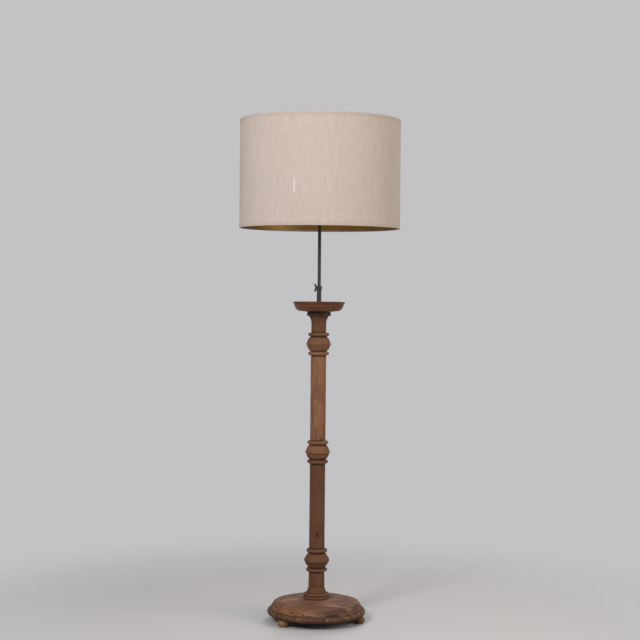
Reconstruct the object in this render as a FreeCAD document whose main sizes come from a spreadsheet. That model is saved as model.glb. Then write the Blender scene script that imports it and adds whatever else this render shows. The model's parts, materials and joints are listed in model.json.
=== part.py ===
import FreeCAD, Part
import os
from collections import namedtuple
from math import atan2, cos, pi, radians, sin
from types import SimpleNamespace

import Sketcher
from FreeCAD import Placement, Rotation, Vector

# Candlestick floor lamp: a turned wooden column on a round base with three bun feet, a drip pan, a
# telescopic stem with a wing screw, and a linen drum shade carried on a harp.
# The origin is on the floor, on the axis of the column. +Z is up, the front of the lamp faces -Y.

# ----------------------------------------------------------------------------------------------
# Driving sizes, in millimetres and degrees: name, value, what it measures
# ----------------------------------------------------------------------------------------------
SIZES = (
    # base
    ("foot_height", 24.0, "height of a bun foot, floor to underside of the base plate"),
    ("foot_radius", 21.0, "widest radius of a bun foot"),
    ("foot_sole_radius", 12.5, "flat sole of a bun foot"),
    ("foot_seat_radius", 14.5, "top of a bun foot, under the base plate"),
    ("foot_inset", 17.0, "rim of the base plate in to the centre of a foot"),
    ("first_foot_angle", 103.5, "direction of the rear foot, seen from above"),
    ("foot_screw_radius", 2.5, "shank of a foot screw"),
    ("foot_screw_head_radius", 4.6, "head of a foot screw"),
    ("foot_screw_recess", 8.0, "counterbore in the sole of a foot"),
    ("foot_screw_grip", 14.0, "length of a foot screw inside the base plate"),
    ("plate_radius", 183.0, "largest radius of the half-round rim"),
    ("plate_thickness", 20.5, "base plate"),
    ("dome_edge_inset", 11.0, "plate radius in to the foot of the dome, in the groove"),
    ("dome_height", 38.5, "crowned base block above the plate"),
    ("dome_shoulder_inset", 26.0, "plate radius in to the shoulder of the dome"),
    ("dome_shoulder_drop", 13.5, "top of the dome down to its shoulder"),
    ("dome_crown_drop", 2.6, "fall of the dome's top half way to the shoulder"),
    ("dome_side_hollow", 2.0, "how far the side of the dome bulges past a straight line"),
    ("dome_seat_radius", 52.0, "flat on top of the dome under the column"),
    ("recess_radius", 35.0, "recess in the underside for the tie nut and the lead"),
    ("recess_depth", 14.0, "depth of that recess inside the dome"),
    ("base_screw_circle", 110.0, "circle of the screws that hold the plate to the dome"),
    ("base_screw_count", 4, "screws that hold the plate to the dome"),
    ("base_screw_first_angle", 45.0, "direction of the first of them"),
    ("base_screw_radius", 2.2, "shank of a base screw"),
    ("base_screw_head_radius", 4.2, "head of a base screw"),
    ("base_screw_recess", 5.0, "counterbore for the head of a base screw"),
    ("base_screw_grip", 18.0, "length of a base screw inside the dome"),
    ("screw_head_height", 2.5, "head height of the wood screws"),
    ("cover_radius", 46.0, "disc that closes the recess"),
    ("cover_thickness", 2.0, "disc that closes the recess"),
    ("cover_screw_circle", 40.5, "circle of the cover screws"),
    ("cover_screw_count", 3, "cover screws"),
    ("cover_screw_radius", 1.6, "shank of a cover screw"),
    ("cover_screw_head_radius", 3.0, "head of a cover screw"),
    ("cover_screw_grip", 9.0, "length of a cover screw inside the plate"),
    ("lead_hole_radius", 5.5, "hole from the recess to the rear of the plate"),
    ("bush_bore_radius", 3.75, "bore of the outlet bush for the lead"),
    ("bush_flange_radius", 8.0, "flange of the outlet bush"),
    ("bush_flange_thickness", 3.0, "flange of the outlet bush"),
    ("bush_barrel_length", 15.0, "barrel of the outlet bush inside the plate"),
    ("bush_spot_depth", 5.0, "flat seat for the flange, in from the rim"),
    # column
    ("shaft_radius", 28.8, "plain shafts of the column"),
    ("neck_radius", 27.7, "shaft between the upper knop and the capital"),
    ("knop_pitch", 403.25, "distance from one knop to the next"),
    ("first_knop_height", 142.0, "top of the dome up to the middle of the lowest knop"),
    ("bead_radius", 47.4, "thin bead around the middle of a knop"),
    ("bead_height", 7.5, "thin bead around the middle of a knop"),
    ("barrel_radius", 43.7, "barrel of a knop, beside its bead"),
    ("barrel_waist_radius", 31.5, "ends of the barrel"),
    ("barrel_belly_radius", 38.7, "barrel near its end"),
    ("barrel_joint_radius", 42.3, "barrel at the joint below its bead"),
    ("joint_drop", 9.5, "middle of a knop down to the joint of two sections"),
    ("joint_bevel", 0.7, "bevel that marks a joint"),
    ("ridge_radius", 47.6, "sharp ridge of the lowest knop"),
    ("ridge_flank_radius", 40.6, "flank of the lowest knop, at its joint"),
    ("ridge_joint_drop", 14.0, "middle of the lowest knop down to its joint"),
    ("barrel_half_length", 26.6, "middle of a knop to the end of its barrel"),
    ("groove_radius", 30.3, "groove between barrel and ring"),
    ("groove_width", 3.6, "groove between barrel and ring"),
    ("ring_radius", 39.2, "rings above and below the barrel"),
    ("ring_height", 11.2, "rings above and below the barrel"),
    ("ring_cove", 3.2, "hollow where a shaft runs into a ring"),
    ("ring_round", 3.0, "rounding of a ring's edge"),
    ("foot_ring_radius", 49.5, "lowest ring of the column, on the dome"),
    ("foot_ring_height", 9.5, "lowest ring of the column"),
    ("skirt_radius", 47.0, "ring above the lowest one"),
    ("skirt_height", 7.5, "ring above the lowest one"),
    ("skirt_groove", 1.5, "groove between the two lowest rings"),
    ("flare_radius", 39.5, "foot of the column, on top of its skirt ring"),
    ("flare_height", 12.5, "height of the flare"),
    ("flare_neck_radius", 33.7, "top of the flare"),
    ("step_height", 8.0, "short band above the flare"),
    ("lower_shaft_swell", 30.2, "shaft just above the short band"),
    ("tenon_radius", 17.0, "tenons between the sections of the column"),
    ("tenon_length", 20.0, "tenons between the sections of the column"),
    ("base_tenon_length", 9.0, "tenon of the column in the dome"),
    ("tenon_gap", 0.15, "play of a tenon in its socket"),
    ("bore_gap", 0.25, "play of the tie tube in the wood"),
    ("neck_length", 105.0, "middle of the upper knop up to the capital"),
    ("neck_flare_radius", 38.5, "top of the neck"),
    ("neck_flare_height", 25.0, "height of the flare under the capital"),
    ("neck_flare_mid_radius", 31.0, "that flare half way up"),
    ("capital_radius", 45.4, "dark ring under the drip pan"),
    ("capital_top_radius", 43.4, "top of that ring"),
    ("capital_height", 15.5, "dark ring under the drip pan"),
    ("capital_round", 2.5, "rounding of its lower edge"),
    # drip pan
    ("pan_radius", 96.6, "lip of the drip pan"),
    ("pan_height", 37.0, "drip pan"),
    ("pan_lip_height", 8.0, "lip of the drip pan"),
    ("pan_lip_overhang", 3.5, "lip past the bowl"),
    ("pan_wall", 6.0, "wall of the drip pan"),
    ("pan_floor", 10.0, "floor of the drip pan"),
    ("pan_foot_radius", 50.0, "flat underside of the drip pan"),
    ("pan_turn_inset", 18.6, "lip in to where the bowl turns up"),
    ("pan_turn_rise", 3.5, "underside up to where the bowl turns up"),
    ("pan_side_inset", 10.0, "lip in to the middle of the bowl's side"),
    ("pan_side_rise", 11.5, "underside up to the middle of the bowl's side"),
    # tie tube and telescopic stem
    ("tube_radius", 8.5, "outer tube of the stem, which ties the column together"),
    ("tube_wall", 1.25, "outer tube of the stem"),
    ("tube_exposed", 42.5, "tube between the drip pan and the clamp collar"),
    ("tube_end_below_nut", 4.0, "end of the tube past the lower nut"),
    ("washer_radius", 17.0, "washers of the tie tube"),
    ("washer_thickness", 2.0, "washers of the tie tube"),
    ("nut_radius", 14.4, "nuts of the tie tube, across the corners"),
    ("nut_height", 8.0, "nuts of the tie tube"),
    ("thread_gap", 0.05, "play of a thread, drawn plain"),
    ("running_gap", 0.06, "play of what slides or turns"),
    ("collar_radius", 10.2, "clamp collar on top of the tube"),
    ("collar_height", 17.5, "clamp collar on top of the tube"),
    ("collar_socket_depth", 5.0, "socket of the collar over the tube"),
    ("collar_round", 1.0, "chamfer of the collar"),
    ("rod_radius", 6.25, "inner rod of the stem"),
    ("rod_bore_radius", 5.0, "bore of the inner rod"),
    ("rod_exposed", 281.0, "rod between the collar and the harp saddle, as in use"),
    ("rod_rise", 100.0, "how far the rod can still be raised"),
    ("guide_length", 40.0, "guide bush on the foot of the rod"),
    ("clip_thickness", 1.0, "clips that hold the guide bush on the rod"),
    ("clip_depth", 0.6, "groove of a clip in the rod"),
    ("clip_stand", 0.7, "how far a clip stands proud of the rod"),
    ("rod_toe", 3.0, "rod below its lower clip"),
    ("end_gap", 0.1, "end play between the guide bush and its clips"),
    # wing screw
    ("clamp_drop", 7.8, "top of the collar down to the axis of the wing screw"),
    ("clamp_screw_radius", 2.5, "shank of the wing screw"),
    ("clamp_pad_length", 1.4, "brass pad between the wing screw and the rod"),
    ("clamp_pad_gap", 0.1, "pad to rod"),
    ("wing_boss_radius", 3.8, "boss of the wing screw"),
    ("wing_boss_length", 4.2, "boss of the wing screw"),
    ("wing_stand", 0.5, "collar to boss with the screw tight"),
    ("wing_span", 12.0, "axis of the screw out to the middle of a wing's round tip"),
    ("wing_sweep", 2.6, "how far the wings lean away from the collar"),
    ("wing_tip_radius", 3.0, "round tip of a wing"),
    ("wing_thickness", 2.6, "wings"),
    # harp
    ("saddle_thickness", 2.0, "harp saddle"),
    ("saddle_width", 12.0, "harp saddle"),
    ("saddle_half_length", 26.0, "harp saddle, axis to its upturned end"),
    ("saddle_tab_height", 13.0, "upturned end of the saddle"),
    ("harp_height", 303.0, "saddle up to the seat of the shade"),
    ("harp_wire_radius", 1.7, "wire of the harp"),
    ("harp_half_width", 56.0, "half the width of the harp around the bulb"),
    ("harp_top_half_width", 9.0, "half the flat top of the harp"),
    ("harp_foot_rise", 5.0, "saddle up to the end of the harp's wire"),
    ("ferrule_height", 9.0, "sleeves that lock the harp to its saddle"),
    ("ferrule_wall", 0.7, "sleeves that lock the harp to its saddle"),
    ("stud_body_radius", 4.5, "crimped body of the harp's stud"),
    ("stud_flange_radius", 7.0, "seat for the spider"),
    ("stud_flange_thickness", 2.0, "seat for the spider"),
    ("stud_radius", 3.1, "threaded stud"),
    ("stud_length", 12.0, "threaded stud"),
    # lampholder
    ("nipple_bore_radius", 3.2, "bore of the threaded nipple"),
    ("nipple_grip", 12.0, "nipple inside the rod"),
    ("holder_neck_radius", 8.0, "neck of the lampholder's cap"),
    ("holder_neck_height", 7.0, "neck of the lampholder's cap"),
    ("holder_radius", 17.0, "outside of the lampholder's cap"),
    ("holder_cap_height", 19.0, "lampholder's cap"),
    ("holder_cap_wall", 0.8, "lampholder's cap"),
    ("holder_shell_start", 12.5, "foot of the shell inside the cap"),
    ("holder_shell_top", 62.0, "top of the shell"),
    ("holder_shell_wall", 0.5, "lampholder's shell"),
    ("holder_sleeve_wall", 0.8, "insulating sleeve inside the shell"),
    ("holder_fit", 0.1, "play between the shells of the lampholder"),
    ("holder_core_start", 15.0, "underside of the insulating core"),
    ("holder_core_height", 20.0, "insulating core"),
    ("thread_shell_radius", 13.9, "outside of the lampholder's thread shell"),
    ("thread_shell_wall", 0.6, "thread shell"),
    ("thread_shell_height", 23.0, "thread shell"),
    ("contact_radius", 3.0, "centre contact"),
    ("contact_height", 4.0, "centre contact"),
    ("terminal_offset", 8.5, "axis out to a terminal screw"),
    ("terminal_radius", 1.5, "shank of a terminal screw"),
    ("terminal_head_radius", 2.8, "head of a terminal screw"),
    ("terminal_head_height", 1.6, "head of a terminal screw"),
    ("terminal_grip", 7.0, "terminal screw inside the core"),
    ("knob_height", 26.0, "foot of the lampholder up to the switch knob's axis"),
    ("knob_shaft_radius", 1.8, "shaft of the switch knob"),
    ("knob_shaft_depth", 7.0, "shaft inside the core"),
    ("knob_hole_radius", 3.4, "hole for the knob in shell and sleeve"),
    ("knob_stand", 1.2, "shell to knob"),
    ("knob_boss_radius", 3.6, "round foot of the knob"),
    ("knob_boss_length", 4.0, "round foot of the knob"),
    ("knob_grip_length", 9.0, "flat grip of the knob"),
    ("knob_grip_width", 14.0, "flat grip of the knob"),
    ("knob_grip_thickness", 4.0, "flat grip of the knob"),
    # bulb
    ("bulb_cap_radius", 13.15, "screw cap of the bulb"),
    ("bulb_cap_height", 24.0, "screw cap of the bulb"),
    ("bulb_contact_radius", 4.5, "contact in the foot of the bulb"),
    ("bulb_contact_height", 1.6, "contact in the foot of the bulb"),
    ("bulb_radius", 30.0, "globe of the bulb"),
    ("bulb_height", 84.0, "glass of the bulb above its cap"),
    ("bulb_neck_radius", 14.4, "neck of the bulb"),
    ("bulb_wall", 0.9, "glass of the bulb"),
    # shade
    ("shade_radius", 300.0, "outside of the linen drum"),
    ("shade_height", 402.0, "linen drum"),
    ("shade_cover_wall", 0.8, "linen"),
    ("shade_liner_wall", 0.6, "gilt lining sheet"),
    ("shade_glue_gap", 0.05, "layers of the shade"),
    ("shade_wire_radius", 2.0, "wire rings of the shade"),
    ("hem_height", 11.0, "bound edges of the shade"),
    ("hem_wall", 0.6, "binding at the edges of the shade"),
    ("spider_recess", 28.0, "top edge of the shade down to the top of the spider's hub"),
    ("spider_hub_radius", 15.0, "hub of the spider"),
    ("spider_hub_thickness", 2.0, "hub of the spider"),
    ("spider_arm_radius", 1.75, "arms of the spider"),
    ("spider_first_angle", -90.0, "direction of the first arm"),
    ("finial_radius", 7.0, "finial on the stud"),
    ("finial_height", 24.0, "finial on the stud"),
    ("finial_wall", 1.2, "neck of the finial around its thread"),
)


class Size:
    """A length or an angle: its number, and the formula that binds it to the sheet."""

    def __init__(self, value, formula):
        self.value = float(value)
        self.formula = formula

    def __add__(self, other):
        other = as_size(other)
        return Size(self.value + other.value, f"({self.formula} + {other.formula})")

    def __sub__(self, other):
        other = as_size(other)
        return Size(self.value - other.value, f"({self.formula} - {other.formula})")

    def __mul__(self, other):
        other = as_size(other)
        return Size(self.value * other.value, f"({self.formula} * {other.formula})")

    def __truediv__(self, other):
        other = as_size(other)
        return Size(self.value / other.value, f"({self.formula} / {other.formula})")

    def __neg__(self):
        return Size(-self.value, f"(0 - {self.formula})")


def as_size(number):
    return number if isinstance(number, Size) else Size(number, str(float(number)))


def cosine(angle):
    return Size(cos(radians(angle.value)), f"cos({angle.formula})")


def sine(angle):
    return Size(sin(radians(angle.value)), f"sin({angle.formula})")


doc = FreeCAD.newDocument("candlestick_floor_lamp")
sheet = doc.addObject("Spreadsheet::Sheet", "Sizes")
for row, (name, value, meaning) in enumerate(SIZES, start=1):
    sheet.set(f"A{row}", meaning)
    sheet.set(f"B{row}", str(value))
    sheet.setAlias(f"B{row}", name)
doc.recompute()
size = SimpleNamespace(**{name: Size(value, f"Sizes.{name}") for name, value, _ in SIZES})

# Heights above the floor, built up from the floor to the top of the shade
plate_bottom = size.foot_height
plate_top = plate_bottom + size.plate_thickness
dome_top = plate_top + size.dome_height
knop_heights = [dome_top + size.first_knop_height]
for _ in range(2):
    knop_heights.append(knop_heights[-1] + size.knop_pitch)
lower_knop, middle_knop, upper_knop = knop_heights
neck_top = upper_knop + size.neck_length
pan_bottom = neck_top + size.capital_height
pan_top = pan_bottom + size.pan_height
collar_bottom = pan_top + size.tube_exposed
collar_top = collar_bottom + size.collar_height
tube_top = collar_bottom + size.collar_socket_depth
clamp_height = collar_top - size.clamp_drop
recess_top = plate_top + size.recess_depth
tube_bottom = recess_top - size.washer_thickness - size.nut_height - size.tube_end_below_nut
guide_top = tube_top - size.rod_rise - size.clip_thickness - size.end_gap * 2
rod_top = collar_top + size.rod_exposed
holder_foot = rod_top + size.saddle_thickness
spider_bottom = holder_foot + size.harp_height
spider_top = spider_bottom + size.spider_hub_thickness
shade_top = spider_top + size.spider_recess
shade_bottom = shade_top - size.shade_height

# The feet, named by where they stand, and the arms of the spider
FOOT_SIDES = ("rear", "left", "right")
foot_count = as_size(len(FOOT_SIDES))
SPIDER_ARMS = 3

# Radii that follow from a neighbour
tube_bore = size.tube_radius - size.tube_wall
wood_bore = size.tube_radius + size.bore_gap
tenon_socket = size.tenon_radius + size.tenon_gap
foot_circle = size.plate_radius - size.foot_inset
shade_liner_radius = size.shade_radius - size.shade_cover_wall - size.shade_glue_gap
shade_wire_circle = (shade_liner_radius - size.shade_liner_wall - size.shade_glue_gap
                     - size.shade_wire_radius)


# ----------------------------------------------------------------------------------------------
# Drawing and shaping
# ----------------------------------------------------------------------------------------------
Point = namedtuple("Point", "across up through")


def corner(across, up):
    return Point(as_size(across), as_size(up), False)


def through(across, up):
    """A point that an arc passes through, between two corners."""
    return Point(as_size(across), as_size(up), True)


def vector(point):
    return Vector(point.across.value, point.up.value, 0)


def new_body(name):
    body = doc.addObject("PartDesign::Body", name)
    body.Label = name
    body.AllowCompound = True
    return body


def origin_feature(body, role):
    return next(item for item in body.Origin.OriginFeatures if item.Role == role)


def place(body, across=0.0, deep=0.0, up=0.0, rotation=None):
    """Put a body at its place in the lamp, bound to the sheet."""
    if rotation:
        body.Placement = Placement(Vector(0, 0, 0), rotation)
    for axis, amount in (("x", across), ("y", deep), ("z", up)):
        body.setExpression(f"Placement.Base.{axis}", as_size(amount).formula)


def new_sketch(body, name, role, lift=0.0):
    sketch = body.newObject("Sketcher::SketchObject", f"{body.Name}_{name}")
    sketch.AttachmentSupport = (origin_feature(body, role), [""])
    sketch.MapMode = "FlatFace"
    sketch.setExpression("AttachmentOffset.Base.z", as_size(lift).formula)
    return sketch


def bind_point(sketch, geometry, position, point):
    """Fix a point of the sketch by its two distances from the origin."""
    for kind, axis, distance in (("DistanceX", -2, point.across), ("DistanceY", -1, point.up)):
        if distance.formula == "0.0":
            sketch.addConstraint(Sketcher.Constraint("PointOnObject", geometry, position, axis))
            continue
        index = sketch.addConstraint(
            Sketcher.Constraint(kind, -1, 1, geometry, position, distance.value))
        sketch.setExpression(f"Constraints[{index}]", distance.formula)


def draw_arc(sketch, first, middle, last):
    """Arc through three points; gives its number and which of its ends is the first point."""
    a, b, c = vector(first), vector(middle), vector(last)
    centre = Part.Arc(a, b, c).toShape().Curve.Center
    radius = (a - centre).Length
    counterclockwise = (b - a).cross(c - b).z > 0
    start, stop = (a, c) if counterclockwise else (c, a)
    start_angle = atan2(start.y - centre.y, start.x - centre.x)
    stop_angle = atan2(stop.y - centre.y, stop.x - centre.x)
    if stop_angle < start_angle:
        stop_angle += 2 * pi
    circle = Part.Circle(centre, Vector(0, 0, 1), radius)
    arc = sketch.addGeometry(Part.ArcOfCircle(circle, start_angle, stop_angle), False)
    mark = sketch.addGeometry(Part.Point(b), True)
    bind_point(sketch, mark, 1, middle)
    sketch.addConstraint(Sketcher.Constraint("PointOnObject", mark, 1, arc))
    return arc, (1, 2) if counterclockwise else (2, 1)


def draw_outline(sketch, outline, closed=True):
    """Join corners with lines, or with an arc where a through point stands between them."""
    steps = list(outline)
    if closed:
        steps.append(steps[0])
    edges = []
    first = steps[0]
    middle = None
    for step in steps[1:]:
        if step.through:
            middle = step
            continue
        if middle:
            edges.append(draw_arc(sketch, first, middle, step) + (first, step))
        else:
            line = sketch.addGeometry(Part.LineSegment(vector(first), vector(step)), False)
            edges.append((line, (1, 2), first, step))
        first = step
        middle = None
    for geometry, (start, _), point, _ in edges:
        bind_point(sketch, geometry, start, point)
    following = edges[1:] + edges[:1] if closed else edges[1:]
    for (geometry, (_, stop), _, _), (next_geometry, (start, _), _, _) in zip(edges, following):
        sketch.addConstraint(Sketcher.Constraint("Coincident", geometry, stop, next_geometry, start))
    if not closed:
        geometry, (_, stop), _, point = edges[-1]
        bind_point(sketch, geometry, stop, point)
    return [geometry for geometry, *_ in edges]


def draw_circle(sketch, radius, across=0.0, up=0.0):
    centre = corner(across, up)
    circle = sketch.addGeometry(
        Part.Circle(vector(centre), Vector(0, 0, 1), radius.value), False)
    index = sketch.addConstraint(Sketcher.Constraint("Radius", circle, radius.value))
    sketch.setExpression(f"Constraints[{index}]", radius.formula)
    bind_point(sketch, circle, 3, centre)


def turn(body, outline, name="turning"):
    """Turn an outline, drawn as (radius, height), about the body's own Z axis."""
    sketch = new_sketch(body, f"{name}_outline", "XZ_Plane")
    draw_outline(sketch, outline)
    revolution = body.newObject("PartDesign::Revolution", f"{body.Name}_{name}")
    revolution.Profile = sketch
    revolution.ReferenceAxis = (sketch, ["V_Axis"])
    revolution.Angle = 360
    body.Tip = revolution
    doc.recompute()
    return revolution


def turned(name, outline):
    body = new_body(name)
    turn(body, outline)
    return body


def pad(body, sketch, length, name, both_ways=False):
    feature = body.newObject("PartDesign::Pad", f"{body.Name}_{name}")
    feature.Profile = sketch
    feature.setExpression("Length", length.formula)
    feature.Midplane = both_ways
    body.Tip = feature
    doc.recompute()
    return feature


def cut(body, sketch, length, name, along_normal=False, both_ways=False):
    """Pocket a sketch into the body and make sure that it took something away."""
    volume_before = body.Shape.Volume
    pocket = body.newObject("PartDesign::Pocket", f"{body.Name}_{name}")
    pocket.Profile = sketch
    pocket.setExpression("Length", length.formula)
    pocket.Reversed = along_normal
    pocket.Midplane = both_ways
    body.Tip = pocket
    doc.recompute()
    if body.Shape.Volume >= volume_before:
        raise RuntimeError(f"{body.Label}: {name} cuts nothing")
    return pocket


def around(body, features, count, name):
    """Repeat features around the body's Z axis."""
    pattern = body.newObject("PartDesign::PolarPattern", f"{body.Name}_{name}")
    pattern.Originals = features
    pattern.Axis = (origin_feature(body, "Z_Axis"), [""])
    pattern.Angle = 360
    pattern.setExpression("Occurrences", count.formula)
    body.Tip = pattern
    doc.recompute()


def ring_spot(circle, angle):
    return circle * cosine(angle), circle * sine(angle)


def drill_ring(body, name, circle, angle, count, radius, start, depth):
    """Drill holes upwards, spread around the axis."""
    sketch = new_sketch(body, f"{name}_circle", "XY_Plane", start)
    draw_circle(sketch, radius, *ring_spot(circle, angle))
    hole = cut(body, sketch, depth, name, along_normal=True)
    if count.value > 1:
        around(body, [hole], count, f"{name}_pattern")


def screw_ring(name, circle, angle, count, head_radius, head_height, radius, seat, length):
    """Screws driven upwards from below: seat is the height at which the heads bear."""
    body = new_body(name)
    spot = ring_spot(circle, angle)
    head = new_sketch(body, "head_circle", "XY_Plane", seat - head_height)
    draw_circle(head, head_radius, *spot)
    head_pad = pad(body, head, head_height, "head")
    shank = new_sketch(body, "shank_circle", "XY_Plane", seat)
    draw_circle(shank, radius, *spot)
    shank_pad = pad(body, shank, length, "shank")
    around(body, [head_pad, shank_pad], count, "pattern")
    return body


def tube_outline(inner, outer, bottom, top):
    return [corner(inner, bottom), corner(outer, bottom), corner(outer, top), corner(inner, top)]


def hexagon(radius):
    return [corner(radius * cos(radians(60 * turn_index)), radius * sin(radians(60 * turn_index)))
            for turn_index in range(6)]


# ----------------------------------------------------------------------------------------------
# Base
# ----------------------------------------------------------------------------------------------
def foot_angle(index):
    return size.first_foot_angle + index * 360.0 / len(FOOT_SIDES)


def make_feet():
    for index, side in enumerate(FOOT_SIDES):
        foot = turned(f"bun_foot_{side}", [
            corner(size.foot_screw_radius + size.thread_gap, size.foot_screw_recess),
            corner(size.foot_screw_head_radius + size.bore_gap, size.foot_screw_recess),
            corner(size.foot_screw_head_radius + size.bore_gap, 0.0),
            corner(size.foot_sole_radius, 0.0),
            through(size.foot_radius, size.foot_height / 2),
            corner(size.foot_seat_radius, size.foot_height),
            corner(size.foot_screw_radius + size.thread_gap, size.foot_height),
        ])
        place(foot, *ring_spot(foot_circle, foot_angle(index)))
    screw_ring("foot_screws", foot_circle, size.first_foot_angle, foot_count,
               size.foot_screw_head_radius, size.screw_head_height, size.foot_screw_radius,
               size.foot_screw_recess, plate_bottom - size.foot_screw_recess + size.foot_screw_grip)


def make_base_plate():
    edge = size.plate_radius - size.plate_thickness / 2
    plate = turned("base_plate", [
        corner(size.recess_radius, plate_bottom),
        corner(edge, plate_bottom),
        through(size.plate_radius, plate_bottom + size.plate_thickness / 2),
        corner(edge, plate_top),
        corner(size.recess_radius, plate_top),
    ])
    drill_ring(plate, "foot_screw_hole", foot_circle, size.first_foot_angle, foot_count,
               size.foot_screw_radius + size.thread_gap, plate_bottom, size.foot_screw_grip + 1.0)
    drill_ring(plate, "base_screw_hole", size.base_screw_circle, size.base_screw_first_angle,
               size.base_screw_count, size.base_screw_radius + size.thread_gap, plate_bottom,
               size.plate_thickness)
    drill_ring(plate, "base_screw_head", size.base_screw_circle, size.base_screw_first_angle,
               size.base_screw_count, size.base_screw_head_radius + size.bore_gap, plate_bottom,
               size.base_screw_recess)
    drill_ring(plate, "cover_screw_hole", size.cover_screw_circle, size.base_screw_first_angle,
               size.cover_screw_count, size.cover_screw_radius + size.thread_gap, plate_bottom,
               size.cover_screw_grip + 1.0)
    hole = new_sketch(plate, "lead_hole_circle", "XZ_Plane")
    draw_circle(hole, size.lead_hole_radius, 0.0, plate_bottom + size.plate_thickness / 2)
    cut(plate, hole, size.plate_radius, "lead_hole")
    spot = new_sketch(plate, "bush_seat_circle", "XZ_Plane",
                      size.bush_spot_depth - size.plate_radius)
    draw_circle(spot, size.bush_flange_radius + size.bore_gap, 0.0,
                plate_bottom + size.plate_thickness / 2)
    cut(plate, spot, size.bush_spot_depth, "bush_seat")


def make_base_dome():
    shoulder_radius = size.plate_radius - size.dome_shoulder_inset
    shoulder_height = dome_top - size.dome_shoulder_drop
    edge = size.plate_radius - size.dome_edge_inset
    side_radius = (shoulder_radius + edge) / 2 + size.dome_side_hollow
    dome = turned("base_dome", [
        corner(wood_bore, recess_top),
        corner(size.recess_radius, recess_top),
        corner(size.recess_radius, plate_top),
        corner(edge, plate_top),
        through(side_radius, (plate_top + shoulder_height) / 2),
        corner(shoulder_radius, shoulder_height),
        through((shoulder_radius + size.dome_seat_radius) / 2, dome_top - size.dome_crown_drop),
        corner(size.dome_seat_radius, dome_top),
        corner(tenon_socket, dome_top),
        corner(tenon_socket, dome_top - size.base_tenon_length - size.tenon_gap),
        corner(wood_bore, dome_top - size.base_tenon_length - size.tenon_gap),
    ])
    drill_ring(dome, "base_screw_hole", size.base_screw_circle, size.base_screw_first_angle,
               size.base_screw_count, size.base_screw_radius + size.thread_gap, plate_top,
               size.base_screw_grip + 1.0)


def make_base_fasteners():
    screw_ring("base_screws", size.base_screw_circle, size.base_screw_first_angle,
               size.base_screw_count, size.base_screw_head_radius, size.screw_head_height,
               size.base_screw_radius, plate_bottom + size.base_screw_recess,
               size.plate_thickness - size.base_screw_recess + size.base_screw_grip)
    cover_bottom = plate_bottom - size.cover_thickness
    cover = turned("recess_cover", [
        corner(0.0, cover_bottom),
        corner(size.cover_radius, cover_bottom),
        corner(size.cover_radius, plate_bottom),
        corner(0.0, plate_bottom),
    ])
    drill_ring(cover, "screw_hole", size.cover_screw_circle, size.base_screw_first_angle,
               size.cover_screw_count, size.cover_screw_radius + size.thread_gap, cover_bottom,
               size.cover_thickness)
    screw_ring("cover_screws", size.cover_screw_circle, size.base_screw_first_angle,
               size.cover_screw_count, size.cover_screw_head_radius, size.cover_thickness,
               size.cover_screw_radius, cover_bottom, size.cover_thickness + size.cover_screw_grip)


def make_outlet_bush():
    """Bush that the lead leaves through, at the rear of the base plate; its own Z points to +Y."""
    barrel_radius = size.lead_hole_radius - size.thread_gap
    bush = turned("cable_outlet_bush", [
        corner(size.bush_bore_radius, -size.bush_barrel_length),
        corner(barrel_radius, -size.bush_barrel_length),
        corner(barrel_radius, 0.0),
        corner(size.bush_flange_radius, 0.0),
        corner(size.bush_flange_radius, size.bush_flange_thickness),
        corner(size.bush_bore_radius, size.bush_flange_thickness),
    ])
    place(bush, 0.0, size.plate_radius - size.bush_spot_depth,
          plate_bottom + size.plate_thickness / 2, Rotation(Vector(1, 0, 0), -90))


# ----------------------------------------------------------------------------------------------
# Column, in four turned sections that meet just under the beads of the knops
# ----------------------------------------------------------------------------------------------
def ring_edge(height):
    """Rounded ring beside a knop's barrel, from its lower to its upper edge."""
    half = size.ring_height / 2
    inner = size.ring_radius - size.ring_round
    return [
        corner(inner, height - half),
        through(size.ring_radius, height),
        corner(inner, height + half),
    ]


def ring_reach():
    """Middle of a knop to the outer face of the rings above and below it."""
    return size.barrel_half_length + size.groove_width + size.ring_height


def shaft_to_ring(radius, knop):
    """Shaft that runs up into the lower ring of a knop."""
    ring_face = knop - ring_reach()
    return [
        corner(radius, ring_face - size.ring_cove),
        through(radius + size.ring_cove * 0.3, ring_face - size.ring_cove * 0.3),
        corner(radius + size.ring_cove, ring_face),
    ]


def ring_to_shaft(radius, knop):
    """The same from the upper ring of a knop up into the next shaft."""
    ring_face = knop + ring_reach()
    return [
        corner(radius + size.ring_cove, ring_face),
        through(radius + size.ring_cove * 0.3, ring_face + size.ring_cove * 0.3),
        corner(radius, ring_face + size.ring_cove),
    ]


def knop_below_joint(knop):
    """Outline of a knop from its lower ring up to the joint under its bead."""
    barrel_end = knop - size.barrel_half_length
    is_ridged = knop is lower_knop
    drop = size.ridge_joint_drop if is_ridged else size.joint_drop
    radius = size.ridge_flank_radius if is_ridged else size.barrel_joint_radius
    belly = size.barrel_waist_radius + (radius - size.barrel_waist_radius) * 0.53
    middle = size.barrel_half_length - (size.barrel_half_length - drop) / 2
    return ring_edge(barrel_end - size.groove_width - size.ring_height / 2) + [
        corner(size.groove_radius, barrel_end - size.groove_width * 0.7),
        corner(size.groove_radius, barrel_end - size.groove_width * 0.3),
        corner(size.barrel_waist_radius, barrel_end),
        through(belly if is_ridged else size.barrel_belly_radius, knop - middle),
        corner(radius, knop - drop - size.joint_bevel),
        corner(radius - size.joint_bevel, knop - drop),
    ]


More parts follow.
